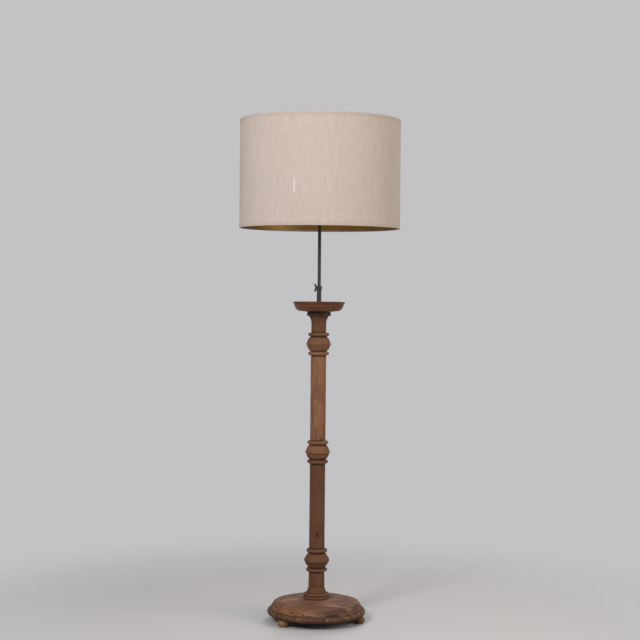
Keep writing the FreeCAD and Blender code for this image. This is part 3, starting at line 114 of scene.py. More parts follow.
class LampShadeSettings(PropertyGroup):
    steps: IntProperty(name="Steps", description="Faces around the drum", default=192, min=48)
    pitch: length("Thread pitch", "Distance from one thread to the next", 1.1 * MM)
    wave: length("Unevenness", "How far the drum strays from round", 0.5 * MM)
    lap: length("Lap", "Width of the glued lap at the rear of the drum", 14 * MM)
    lap_rise: length("Lap rise", "How far the lap stands proud", 0.6 * MM)
    linen_light: colour("Linen, light", "Pale threads", (0.61, 0.515, 0.445))
    linen_dark: colour("Linen, dark", "Flax-coloured threads", (0.43, 0.335, 0.265))
    binding: colour("Binding", "Tape around both edges", (0.575, 0.475, 0.40))
    gilt: colour("Gilt", "Lining of the drum", (0.40, 0.215, 0.055))


class LampStageSettings(PropertyGroup):
    distance: length("Distance", "Camera to the lamp's axis", 5.32)
    height: length("Height", "Camera above the floor", 1.235)
    aside: length("Aside", "Camera to the right of the lamp's axis", 0.0032)
    lens: FloatProperty(name="Lens", description="Focal length in millimetres", default=80.04)
    drop: FloatProperty(name="Drop", description="Shift of the picture, as a share of its side",
                        default=-0.0477)
    roll: FloatProperty(name="Roll", description="Roll of the camera", default=radians(-0.53),
                        subtype="ANGLE")
    floor: colour("Floor", "Plain pale floor", (0.565, 0.548, 0.545))
    backdrop: colour("Backdrop", "Pale surroundings, as the camera sees them", (0.545, 0.54, 0.558))
    sky: FloatProperty(name="Sky", description="Even light from all round", default=0.20)


# ----------------------------------------------------------------------------------------------
# Materials
# ----------------------------------------------------------------------------------------------
class Recipe:
    """A material that is being mixed: each method adds a node and gives its output."""

    def __init__(self, name, **finish):
        self.material = bpy.data.materials.new(name)
        self.material.use_nodes = True
        self.tree = self.material.node_tree
        self.shader = self.tree.nodes["Principled BSDF"]
        self.place = self.add("ShaderNodeTexCoord").outputs["Object"]
        for socket, value in finish.items():
            self.feed(self.shader.inputs[socket.replace("_", " ")], value)

    def feed(self, socket, value):
        if isinstance(value, bpy.types.NodeSocket):
            self.tree.links.new(value, socket)
        elif value is not None:
            socket.default_value = value

    def add(self, kind, inputs=(), **settings):
        node = self.tree.nodes.new(kind)
        for name, value in settings.items():
            setattr(node, name, value)
        for number, value in dict(inputs).items():
            self.feed(node.inputs[number], value)
        return node

    def stretch(self, place, scale, shift=(0, 0, 0)):
        inputs = {"Vector": place, "Scale": scale, "Location": shift}
        return self.add("ShaderNodeMapping", inputs).outputs[0]

    def noise(self, place, scale, detail=3.0, roughness=0.55, distortion=0.0):
        inputs = {"Vector": place, "Scale": scale, "Detail": detail, "Roughness": roughness,
                  "Distortion": distortion}
        return self.add("ShaderNodeTexNoise", inputs).outputs["Fac"]

    def maths(self, operation, first, second=None, third=None):
        node = self.add("ShaderNodeMath", {0: first, 1: second, 2: third}, operation=operation)
        return node.outputs[0]

    def level(self, value, low, high, start=0.0, stop=1.0):
        """Smooth step: start below low, stop above high."""
        inputs = {"Value": value, "From Min": low, "From Max": high, "To Min": start, "To Max": stop}
        return self.add("ShaderNodeMapRange", inputs, interpolation_type="SMOOTHSTEP").outputs[0]

    def ramp(self, value, *stops):
        """Colours along a value, from (position, colour) pairs."""
        node = self.add("ShaderNodeValToRGB", {0: value})
        points = node.color_ramp.elements
        while len(points) < len(stops):
            points.new(0.5)
        for point, (position, tone) in zip(points, stops):
            point.position = position
            point.color = (*tone, 1.0)
        return node.outputs[0]

    def blend(self, share, first, second):
        """The first colour, with a share of the second."""
        node = self.add("ShaderNodeMix", {0: share}, data_type="RGBA")
        for number, tone in ((6, first), (7, second)):
            linked = isinstance(tone, bpy.types.NodeSocket)
            self.feed(node.inputs[number], tone if linked else (*tone, 1.0))
        return node.outputs[2]

    def distance(self, place):
        """How far a place is from the origin of its own coordinates."""
        return self.add("ShaderNodeVectorMath", {0: place}, operation="LENGTH").outputs["Value"]

    def spot(self, centre, reach, softness=0.5):
        """One at a place on the object, fading to none at its reach along X, Y and Z."""
        shrink = [1.0 / side for side in reach]
        shift = [-middle / side for middle, side in zip(centre, reach)]
        away = self.distance(self.stretch(self.place, shrink, shift))
        ragged = self.maths("MULTIPLY_ADD", self.noise(self.place, 90.0), 0.7, away)
        return self.level(ragged, 1.35 - softness, 1.35, 1.0, 0.0)

    def coordinate(self, axis="Z"):
        return self.add("ShaderNodeSeparateXYZ", {0: self.place}).outputs[axis]

    def attribute(self, name):
        return self.add("ShaderNodeAttribute", attribute_name=name).outputs["Fac"]

    def finish(self, tone, roughness=None, relief=None, depth=0.2 * MM):
        """Feed the shader; gives the finished material."""
        self.feed(self.shader.inputs["Base Color"], tone)
        if roughness is not None:
            self.feed(self.shader.inputs["Roughness"], roughness)
        if relief is not None:
            bump = self.add("ShaderNodeBump", {"Strength": 1.0, "Distance": depth, "Height": relief})
            self.feed(self.shader.inputs["Normal"], bump.outputs[0])
        return self.material


def fibres(recipe, along, tones, seed, spread=0.20, strength=0.62):
    """Wood figure, fibres and pores that run along one axis; gives its colour and its relief."""
    squeeze = [1.0, 1.0, 1.0]
    squeeze["XYZ".index(along)] = 0.05
    drawn = recipe.stretch(recipe.place, squeeze, (seed, seed * 0.7, seed * 1.3))
    squeeze["XYZ".index(along)] = 0.16
    broad = recipe.stretch(recipe.place, squeeze, (seed, seed * 0.4, seed))
    figure = recipe.noise(broad, 95.0, 4.0, 0.62, 0.8)
    fibre = recipe.noise(drawn, 240.0, 5.0, 0.7, 0.25)
    pores = recipe.level(recipe.noise(drawn, 900.0, 2.0), 0.60, 0.70)
    dark, mid, light = tones
    tone = recipe.ramp(figure, (0.5 - spread, dark), (0.5 - spread * 0.3, mid),
                       (0.5 + spread * 0.3, mid), (0.5 + spread, light))
    tone = recipe.blend(recipe.level(fibre, 0.42, 0.70, 0.0, strength), tone, dark)
    tone = recipe.blend(recipe.maths("MULTIPLY", pores, 0.5), tone, dark)
    relief = recipe.maths("MULTIPLY_ADD", pores, -0.8, recipe.maths("MULTIPLY", fibre, -0.6))
    return tone, relief


def waxed_and_shaded(recipe, tone, wax_and_shade, strength):
    """Dark wax and painted shade in the hollows, and a little lighter on the ridges of a turned piece.
    """
    relief = recipe.maths("MULTIPLY_ADD", recipe.noise(recipe.place, 160.0), 0.9,
                          recipe.attribute("relief"))
    # Wax and painted shade in the hollows, deepest in the deepest hollows
    hollow = recipe.level(relief, -3.0, -0.5, strength, 0.0)
    ridge = recipe.level(relief, 1.4, 4.0, 0.0, 0.08)
    tone = recipe.blend(ridge, tone, (0.36, 0.21, 0.125))
    return recipe.blend(hollow, tone, wax_and_shade)


# Heights between which the column darkens downwards (painted shade) and upwards to the pan (painted
# shadow)
LOWER_COLUMN_SHADE = (0.58, 0.66)
UNDER_PAN_SHADOW = (0.98, 1.12)
COLUMN_KNOTS = (
    # height, to the right, size
    (0.322, 0.002, 9 * MM),
    (0.675, 0.012, 7 * MM),
    (0.905, -0.010, 5 * MM),
)


def column_wood():
    timber = bpy.context.scene.lamp_timber
    recipe = Recipe("column_wood", Specular_IOR_Level=0.2)
    tones = [timber.column_dark[:], timber.column_mid[:], timber.column_light[:]]
    tone, relief = fibres(recipe, "Z", tones, 0.3, 0.31, 0.55)
    ring = recipe.noise(recipe.stretch(recipe.place, (0.04, 0.04, 1.0)), 420.0, 2.0, 0.7)
    turned = recipe.level(recipe.attribute("relief"), 0.3, 2.0, 0.12, 0.6)
    turned = recipe.maths("MULTIPLY", recipe.level(ring, 0.50, 0.62), turned)
    tone = recipe.blend(turned, tone, timber.column_dark[:])
    handled = recipe.level(recipe.noise(recipe.place, 7.0, 2.0), 0.42, 0.66, 0.0, 0.45)
    tone = recipe.blend(handled, tone, timber.column_dark[:])
    height = recipe.coordinate()
    # Painted shade on the lower column, and painted shadow of the pan on the neck
    tone = recipe.blend(recipe.level(height, *LOWER_COLUMN_SHADE, 0.66, 0.0), tone, timber.column_dark[:])
    tone = recipe.blend(recipe.level(height, *UNDER_PAN_SHADOW, 0.0, 0.70), tone, timber.column_dark[:])
    for up, right, size in COLUMN_KNOTS:
        knot = recipe.spot((right, -0.029, up), (size * 0.8, size, size * 1.7))
        tone = recipe.blend(recipe.maths("MULTIPLY", knot, 0.7), tone, timber.wax_and_shade[:])
    tone = waxed_and_shaded(recipe, tone, timber.wax_and_shade[:], 0.66)
    gloss = recipe.level(recipe.noise(recipe.place, 60.0), 0.3, 0.7, 0.62, 0.8)
    return recipe.finish(tone, gloss, relief, 0.35 * MM)


def pan_wood():
    timber = bpy.context.scene.lamp_timber
    recipe = Recipe("pan_wood", Specular_IOR_Level=0.25)
    tones = [timber.pan_dark[:], timber.pan_mid[:], timber.pan_light[:]]
    tone, relief = fibres(recipe, "X", tones, 1.7)
    seam, lip = (corner.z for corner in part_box("drip_pan"))
    # Painted shade on what lies below the pan's bottom
    painted_shade_below = recipe.level(recipe.coordinate(), seam - 2 * MM, seam, 0.78, 0.0)
    tone = recipe.blend(painted_shade_below, tone, timber.wax_and_shade[:])
    edge = recipe.level(recipe.coordinate(), lip - 9 * MM, lip - 4 * MM, 0.0, 0.80)
    tone = recipe.blend(edge, tone, timber.pan_dark[:])
    tone = waxed_and_shaded(recipe, tone, timber.wax_and_shade[:], 0.7)
    return recipe.finish(tone, recipe.level(relief, -1.0, 0.0, 0.62, 0.45), relief, 0.3 * MM)


def foot_wood():
    timber = bpy.context.scene.lamp_timber
    recipe = Recipe("foot_wood", Specular_IOR_Level=0.3)
    tones = [timber.foot_dark[:], timber.foot_mid[:], timber.foot_light[:]]
    tone, relief = fibres(recipe, "Z", tones, 2.9)
    worn = recipe.level(recipe.noise(recipe.place, 70.0, 4.0), 0.50, 0.64, 0.0, 0.7)
    tone = recipe.blend(worn, tone, timber.foot_dark[:])
    # Painted shade: the feet on the right-hand side are darker
    shaded_right_feet = recipe.level(recipe.coordinate("X"), 0.05, 0.15, 0.0, 0.9)
    tone = recipe.blend(shaded_right_feet, tone, timber.foot_dark[:])
    return recipe.finish(tone, recipe.level(worn, 0.0, 0.7, 0.5, 0.75), relief, 0.3 * MM)


# Marks of the boards, with a painted shadow and a painted light beside the column
BASE_MARKS_AND_PAINTED_LIGHT = (
    # centre and reach in metres, colour, strength
    ((-0.118, -0.108, 0.061), (0.026, 0.030, 0.010), (0.33, 0.115, 0.042), 0.60),
    ((-0.080, -0.135, 0.057), (0.090, 0.060, 0.016), (0.28, 0.105, 0.042), 0.40),
    ((-0.089, -0.140, 0.056), (0.011, 0.014, 0.0060), (0.034, 0.013, 0.007), 0.65),
    ((-0.047, -0.158, 0.054), (0.010, 0.012, 0.0055), (0.036, 0.014, 0.008), 0.65),
    ((-0.022, -0.163, 0.049), (0.045, 0.014, 0.0045), (0.026, 0.010, 0.006), 0.75),
    ((0.066, -0.145, 0.058), (0.092, 0.060, 0.016), (0.060, 0.034, 0.023), 0.80),
    ((0.060, -0.160, 0.050), (0.060, 0.016, 0.0055), (0.022, 0.010, 0.007), 0.85),
    ((0.146, -0.070, 0.060), (0.020, 0.060, 0.022), (0.062, 0.038, 0.028), 0.70),
    ((0.122, -0.102, 0.062), (0.006, 0.010, 0.010), (0.33, 0.195, 0.11), 0.65),
    ((0.041, -0.178, 0.036), (0.0045, 0.012, 0.012), (0.36, 0.225, 0.135), 0.80),
    ((0.041, -0.180, 0.028), (0.0030, 0.012, 0.007), (0.10, 0.045, 0.022), 0.70),
    # Painted shadow of the column foot on the dome
    ((0.105, -0.020, 0.080), (0.045, 0.060, 0.012), (0.110, 0.052, 0.045), 0.65),
    # Painted light on the dome beside the column
    ((-0.100, -0.030, 0.080), (0.060, 0.030, 0.014), (0.30, 0.20, 0.14), 0.45),
    ((0.060, -0.105, 0.076), (0.040, 0.016, 0.014), (0.28, 0.175, 0.11), 0.55),
)


def base_wood():
    timber = bpy.context.scene.lamp_timber
    recipe = Recipe("base_wood", Specular_IOR_Level=0.2)
    tones = [timber.base_dark[:], timber.base_mid[:], timber.base_light[:]]
    tone, relief = fibres(recipe, "X", tones, 5.1)
    streak = recipe.noise(recipe.stretch(recipe.place, (0.09, 1.0, 0.6)), 75.0, 3.0, 0.6, 0.4)
    tone = recipe.blend(recipe.level(streak, 0.54, 0.64, 0.0, 0.65), tone, timber.base_dark[:])
    tone = recipe.blend(recipe.level(streak, 0.46, 0.36, 0.0, 0.45), tone, timber.base_light[:])
    for centre, reach, mark, strength in BASE_MARKS_AND_PAINTED_LIGHT:
        share = recipe.maths("MULTIPLY", recipe.spot(centre, reach, 0.6), strength)
        tone = recipe.blend(share, tone, mark)
    bottom, seam = (corner.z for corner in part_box("base_plate"))
    height = recipe.coordinate()
    # Painted shade in the groove just above the seam between the boards
    groove_shade = recipe.level(height, seam + 0.5 * MM, seam + 3.5 * MM, 0.92, 0.0)
    above = recipe.maths("GREATER_THAN", height, seam - 0.2 * MM)
    tone = recipe.blend(recipe.maths("MULTIPLY", groove_shade, above), tone, timber.wax_and_shade[:])
    # Painted shade on the lower board, darker towards its bottom
    painted_shade_below = recipe.level(height, bottom, seam, 0.72, 0.26)
    below = recipe.maths("SUBTRACT", 1.0, above)
    tone = recipe.blend(recipe.maths("MULTIPLY", painted_shade_below, below), tone, timber.wax_and_shade[:])
    return recipe.finish(tone, recipe.level(streak, 0.3, 0.7, 0.6, 0.82), relief, 0.4 * MM)


def black_steel():
    metal = bpy.context.scene.lamp_metal
    recipe = Recipe("black_steel", Specular_IOR_Level=0.4)
    worn = recipe.noise(recipe.stretch(recipe.place, (1, 1, 0.2)), 240.0, 4.0, 0.7)
    tone = recipe.ramp(worn, (0.35, (0.012, 0.010, 0.010)), (0.6, metal.black[:]),
                       (0.8, (0.06, 0.047, 0.04)))
    return recipe.finish(tone, recipe.level(worn, 0.3, 0.7, 0.34, 0.5), worn, 0.05 * MM)


def metal_finish(name, tone, low, high, scale=180.0):
    """Bright metal with fine scratches and a slightly uneven polish."""
    recipe = Recipe(name, Metallic=1.0)
    polish = recipe.noise(recipe.place, scale, 4.0, 0.65)
    scratch = recipe.noise(recipe.stretch(recipe.place, (1, 1, 0.05)), scale * 6, 2.0)
    shaded = [part * 0.62 for part in tone]
    mixed = recipe.ramp(polish, (0.3, shaded), (0.55, tone))
    return recipe.finish(mixed, recipe.level(polish, 0.3, 0.7, low, high), scratch, 0.03 * MM)


def zinc_steel():
    return metal_finish("zinc_steel", bpy.context.scene.lamp_metal.zinc[:], 0.28, 0.45)


def brass():
    return metal_finish("brass", bpy.context.scene.lamp_metal.brass[:], 0.24, 0.42)


def bulb_metal():
    return metal_finish("bulb_metal", (0.76, 0.76, 0.75), 0.2, 0.35)


def moulding(name, dark, light, roughness, scale=320.0):
    """Plastic, card or rubber: a fine grain and a faint mottle."""
    recipe = Recipe(name)
    grain = recipe.noise(recipe.place, scale, 4.0, 0.6)
    mottle = recipe.noise(recipe.place, scale * 0.2, 2.0)
    tone = recipe.ramp(mottle, (0.35, dark), (0.65, light))
    return recipe.finish(tone, recipe.level(grain, 0.3, 0.7, roughness - 0.06, roughness + 0.08),
                         grain, 0.06 * MM)


def nylon():
    return moulding("nylon", (0.70, 0.69, 0.64), (0.80, 0.79, 0.75), 0.45)


def black_rubber():
    return moulding("black_rubber", (0.016, 0.016, 0.016), (0.035, 0.034, 0.033), 0.75)


def insulating_card():
    return moulding("insulating_card", (0.34, 0.25, 0.15), (0.46, 0.36, 0.24), 0.8, 500.0)


def phenolic():
    return moulding("phenolic", (0.022, 0.018, 0.015), (0.045, 0.036, 0.030), 0.32)


def bulb_glass():
    recipe = Recipe("bulb_glass", Coat_Weight=0.4, Coat_Roughness=0.08)
    frost = recipe.noise(recipe.place, 60.0, 2.0)
    tone = recipe.ramp(frost, (0.3, (0.86, 0.86, 0.83)), (0.7, (0.93, 0.93, 0.91)))
    return recipe.finish(tone, recipe.level(frost, 0.3, 0.7, 0.30, 0.38))


def threads(recipe, uv, pitch):
    """Plain weave on a UV map in metres: warp and weft bumps with uneven yarn."""
    split = recipe.add("ShaderNodeSeparateXYZ", {0: uv})
    warp = recipe.maths("SINE", recipe.maths("MULTIPLY", split.outputs["X"], tau / pitch))
    weft = recipe.maths("SINE", recipe.maths("MULTIPLY", split.outputs["Y"], tau / pitch))
    return recipe.maths("MULTIPLY", warp, weft)


# A short bright streak on the front of the linen: radius of the drum, how far it is to the left of the
# middle, its height above the floor, and how far it reaches sideways and up
STREAK_DRUM = 0.3
STREAK_LEFT = 0.092
STREAK_HEIGHT = 1.604
STREAK_REACH = (2.2 * MM, 34 * MM)


def linen():
    shade = bpy.context.scene.lamp_shade
    recipe = Recipe("linen", Roughness=0.9, Specular_IOR_Level=0.15, Sheen_Weight=0.12,
                    Sheen_Roughness=0.5)
    uv = recipe.add("ShaderNodeUVMap", uv_map="weave").outputs[0]
    slub = recipe.noise(recipe.stretch(uv, (400.0, 9.0, 1.0)), 1.0, 2.0, 0.6)
    yarn = recipe.noise(recipe.stretch(uv, (1100.0, 60.0, 1.0)), 1.0, 2.0, 0.7)
    cross = recipe.noise(recipe.stretch(uv, (11.0, 480.0, 1.0)), 1.0, 2.0, 0.6)
    fleck = recipe.noise(recipe.stretch(uv, (260.0, 110.0, 1.0)), 1.0, 3.0, 0.6)
    tone = shade.linen_light[:]
    for thread, share in ((slub, 0.40), (cross, 0.28)):
        tone = recipe.blend(recipe.level(thread, 0.36, 0.64, share, 0.0), tone, shade.linen_dark[:])
    tone = recipe.blend(recipe.level(yarn, 0.45, 0.66, 0.0, 0.55), tone, (0.70, 0.61, 0.54))
    tone = recipe.blend(recipe.level(fleck, 0.58, 0.72, 0.0, 0.42), tone, (0.36, 0.285, 0.23))
    middle = (STREAK_DRUM * (FRONT - asin(STREAK_LEFT / STREAK_DRUM)), STREAK_HEIGHT)
    shrink = [1 / side for side in STREAK_REACH]
    shift = [-place * share for place, share in zip(middle, shrink)]
    streak = recipe.stretch(uv, (*shrink, 1.0), (*shift, 0.0))
    away = recipe.distance(streak)
    tone = recipe.blend(recipe.level(away, 0.5, 1.2, 0.9, 0.0), tone, (0.86, 0.82, 0.77))
    weave = threads(recipe, uv, shade.pitch)
    relief = recipe.maths("MULTIPLY_ADD", slub, 1.2, weave)
    return recipe.finish(tone, None, relief, 0.12 * MM)


def linen_binding():
    shade = bpy.context.scene.lamp_shade
    recipe = Recipe("linen_binding", Roughness=0.9, Specular_IOR_Level=0.15, Sheen_Weight=0.1)
    uv = recipe.add("ShaderNodeUVMap", uv_map="weave").outputs[0]
    yarn = recipe.noise(recipe.stretch(uv, (60.0, 700.0, 1.0)), 1.0, 3.0, 0.6)
    tone = recipe.ramp(yarn, (0.32, [part * 0.78 for part in shade.binding]), (0.6, shade.binding[:]))
    return recipe.finish(tone, None, threads(recipe, uv, shade.pitch * 0.8), 0.1 * MM)


def gilt_lining():
    shade = bpy.context.scene.lamp_shade
    recipe = Recipe("gilt_lining", Metallic=0.85)
    uv = recipe.add("ShaderNodeUVMap", uv_map="weave").outputs[0]
    brush = recipe.noise(recipe.stretch(uv, (40.0, 900.0, 1.0)), 1.0, 3.0, 0.6)
    cloud = recipe.noise(recipe.place, 14.0, 3.0)
    tone = recipe.ramp(cloud, (0.35, [part * 0.86 for part in shade.gilt]), (0.65, shade.gilt[:]))
    return recipe.finish(tone, recipe.level(brush, 0.3, 0.7, 0.38, 0.52), brush, 0.04 * MM)


FINISHES = {recipe.__name__: recipe for recipe in (
    column_wood, pan_wood, foot_wood, base_wood, black_steel, zinc_steel, brass, bulb_metal, nylon,
    black_rubber, insulating_card, phenolic, bulb_glass, linen, linen_binding, gilt_lining)}
SLOT_OF = {part["node"]: part["material_slot"] for part in frame["record"]["subparts"]}
BODY_OF = {node: body for body, nodes in frame["record"]["behaviour"]["bodies"].items()
           for node in nodes}
MIXED = {}


def finish_of(slot):
    """The material of a record's slot, mixed when it is first asked for."""
    if slot not in MIXED:
        MIXED[slot] = FINISHES[slot]()
    return MIXED[slot]


# ----------------------------------------------------------------------------------------------
# Shaping
# ----------------------------------------------------------------------------------------------
# Heading of the cut that gives an outline, off every edge of the mesh
SECTION_ANGLE = 0.31
WELD = 0.001 * MM
# Height of one step of an envelope, and how far up and down its mean radius reaches
STEP = 0.5 * MM
WINDOW = 9 * MM
# Bumps per metre of the unevenness and of the wear, and the relief that wears, in millimetres
SWELL = 22.0
NICKS = 48.0
PROUD = 1.5
# Where the wear of each kind of piece starts in the noise, so that no two wear alike
SEED = {"feet": 11.0, "rim": 23.0, "dome": 31.0, "column": 41.0, "pan": 53.0}


def merged_copy(node):
    """Shape of a CAD node, with its loose triangles joined."""
    shape = bmesh.new()
    shape.from_mesh(frame["nodes"][node].data)
    bmesh.ops.remove_doubles(shape, verts=shape.verts, dist=WELD)
    return shape


def everything(shape):
    return shape.verts[:] + shape.edges[:] + shape.faces[:]


def half_section(node, centre):
    """Outline of a turned CAD node, beside its axis."""
    shape = merged_copy(node)
    along = Vector((cos(SECTION_ANGLE), sin(SECTION_ANGLE), 0))
    across = Vector((-sin(SECTION_ANGLE), cos(SECTION_ANGLE), 0))
    bmesh.ops.bisect_plane(shape, geom=everything(shape), dist=WELD * 0.1, plane_co=centre,
                           plane_no=across, clear_inner=True, clear_outer=True)
    bmesh.ops.bisect_plane(shape, geom=everything(shape), dist=WELD * 0.1, plane_co=centre,
                           plane_no=along, clear_inner=True)
    bmesh.ops.remove_doubles(shape, verts=shape.verts, dist=WELD)
    bmesh.ops.dissolve_limit(shape, angle_limit=radians(1.0), verts=shape.verts, edges=shape.edges)
    return shape


def divide(shape, spacing):
    """Cut the long edges of an outline into spans of about one spacing."""
    for edge in shape.edges[:]:
        cuts = int(edge.calc_length() / spacing)
        if cuts:
            bmesh.ops.subdivide_edges(shape, edges=[edge], cuts=cuts)


def reach(point, centre):
    return hypot(point.x - centre.x, point.y - centre.y)


def envelope(shape, centre):
    """Largest radius of an outline at each step of height, from its foot to its top."""
    low = min(vert.co.z for vert in shape.verts)
    high = max(vert.co.z for vert in shape.verts)
    radii = [0.0] * (int((high - low) / STEP) + 2)
    for edge in shape.edges:
        first, last = sorted((vert.co for vert in edge.verts), key=lambda point: point.z)
        rise = last.z - first.z
        for number in range(int((first.z - low) / STEP), int((last.z - low) / STEP) + 1):
            share = min(1.0, max(0.0, (low + number * STEP - first.z) / rise)) if rise > WELD else 1.0
            radius = reach(first.lerp(last, share), centre)
            radii[number] = max(radii[number], radius)
    radii[-1] = radii[-1] or radii[-2]
    return low, radii


def mark_relief(shape, centre, low, radii):
    """Store how far each point stands out from the mean radius about its height, in millimetres."""
    layer = shape.verts.layers.float.new("relief")
    span = int(WINDOW / STEP)
    for vert in shape.verts:
        number = int((vert.co.z - low) / STEP)
        near = radii[max(0, number - span):number + span + 1]
        vert[layer] = (reach(vert.co, centre) - sum(near) / len(near)) / MM


def weather(shape, centre, bore, wave, chip, seed):
    """Shift what lies outside a bore in and out a little, and knock back the worn ridges."""
    layer = shape.verts.layers.float.get("relief")
    offset = Vector((seed, seed * 2.0, seed * 3.0))
    for vert in shape.verts:
        radius = reach(vert.co, centre)
        if radius < bore:
            continue
        shift = wave * noise.noise(vert.co * SWELL + offset)
        if layer and vert[layer] > PROUD:
            knock = noise.noise(vert.co * NICKS + offset) - 0.22
            shift -= max(0.0, knock) * chip * min(2.0, vert[layer] * 0.4)
        share = shift / radius
        vert.co.x += (vert.co.x - centre.x) * share
        vert.co.y += (vert.co.y - centre.y) * share


def make_piece(name, shape, node, smooth=35.0):
    """Turn a finished shape into a piece that stands for a CAD node and takes its finish."""
    mesh = bpy.data.meshes.new(name)
    shape.to_mesh(mesh)
    shape.free()
    mesh.shade_smooth()
    mesh.set_sharp_from_angle(angle=radians(smooth))
    piece = bpy.data.objects.new(name, mesh)
    bpy.context.scene.collection.objects.link(piece)
    mesh.materials.append(finish_of(SLOT_OF[node]))
    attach(piece, BODY_OF[node])
    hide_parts(node)
    return piece


def lathe(node, steps, centre=AXIS, spacing=None):
    """Spin the outline of a CAD node around its axis, and mark its ridges and hollows."""
    shape = half_section(node, centre)
    low, radii = envelope(shape, centre)
    if spacing:
        divide(shape, spacing)
    bmesh.ops.spin(shape, geom=everything(shape), cent=centre, axis=(0, 0, 1), angle=tau, steps=steps,
                   use_merge=True)
    bmesh.ops.remove_doubles(shape, verts=shape.verts, dist=WELD)
    bmesh.ops.recalc_face_normals(shape, faces=shape.faces)
    mark_relief(shape, centre, low, radii)
    return shape


def lay_weave(shape, radius, cut):
    """UV map in metres: around the drum, cut at one heading at the rear, and up it."""
    layer = shape.loops.layers.uv.new("weave")
    for face in shape.faces:
        middle = face.calc_center_median()
        heading = atan2(middle.y, middle.x)
        heading -= tau * (heading > cut)
        for loop in face.loops:
            angle = atan2(loop.vert.co.y, loop.vert.co.x)
            angle += tau * round((heading - angle) / tau)
            loop[layer].uv = (angle * radius, loop.vert.co.z)


# ----------------------------------------------------------------------------------------------
# Operators: wood
# ----------------------------------------------------------------------------------------------
class LAMP_OT_turn_feet(Operator):
    """Turn the three bun feet"""
    bl_idname = "lamp.turn_feet"
    bl_label = "Turn the feet"

    def execute(self, context):
        timber = context.scene.lamp_timber
        for number, side in enumerate(FOOT_SIDES):
            node = f"bun_foot_{side}"
            low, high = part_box(node)
            centre = (low + high) / 2
            shape = lathe(node, timber.steps // 2, centre, 3 * MM)
            weather(shape, centre, 6 * MM, timber.wave, timber.chip, SEED["feet"] + number)
            make_piece(f"turned_foot_{side}", shape, node)
        return {"FINISHED"}


class LAMP_OT_join_base(Operator):
    """Turn the two boards of the base"""
    bl_idname = "lamp.join_base"
    bl_label = "Turn the base boards"

    def execute(self, context):
        timber = context.scene.lamp_timber
        rim = merged_copy("base_plate")
        weather(rim, AXIS, 165 * MM, timber.wave * 2.0, 0.0, SEED["rim"])
        make_piece("lower_board", rim, "base_plate", 30.0)
        dome = lathe("base_dome", timber.steps * 2, spacing=4 * MM)
        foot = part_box("base_dome")[0].z
        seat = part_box("column_foot")[1].x + 3 * MM
        weather(dome, AXIS, 60 * MM, timber.wave * 2.0, 0.0, SEED["dome"])
        for vert in dome.verts:
            if vert.co.z > foot + 5 * MM and reach(vert.co, AXIS) > seat:
                dip = noise.noise(Vector((vert.co.x * 7.0, vert.co.y * 26.0, 4.0)))
                vert.co.z += (dip - 0.35) * timber.wave * 2.0
        make_piece("upper_board", dome, "base_dome", 30.0)
        return {"FINISHED"}


class LAMP_OT_turn_column(Operator):
    """Turn the four sections of the column"""
    bl_idname = "lamp.turn_column"
    bl_label = "Turn the column"

    def execute(self, context):
        timber = context.scene.lamp_timber
        for number, node in enumerate(COLUMN_SECTIONS):
            shape = lathe(node, timber.steps, spacing=8 * MM)
            weather(shape, AXIS, 20 * MM, timber.wave, timber.chip, SEED["column"] + number)
            make_piece(f"turned_{node}", shape, node, 40.0)
        return {"FINISHED"}


class LAMP_OT_turn_pan(Operator):
    """Turn the capital ring and the drip pan"""
    bl_idname = "lamp.turn_pan"
    bl_label = "Turn the drip pan"

    def execute(self, context):
        timber = context.scene.lamp_timber
        for number, node in enumerate(("capital_ring", "drip_pan")):
            shape = lathe(node, timber.steps, spacing=6 * MM)
            weather(shape, AXIS, 20 * MM, timber.wave, timber.chip * 0.6, SEED["pan"] + number)
            make_piece(f"turned_{node}", shape, node, 40.0)
        return {"FINISHED"}


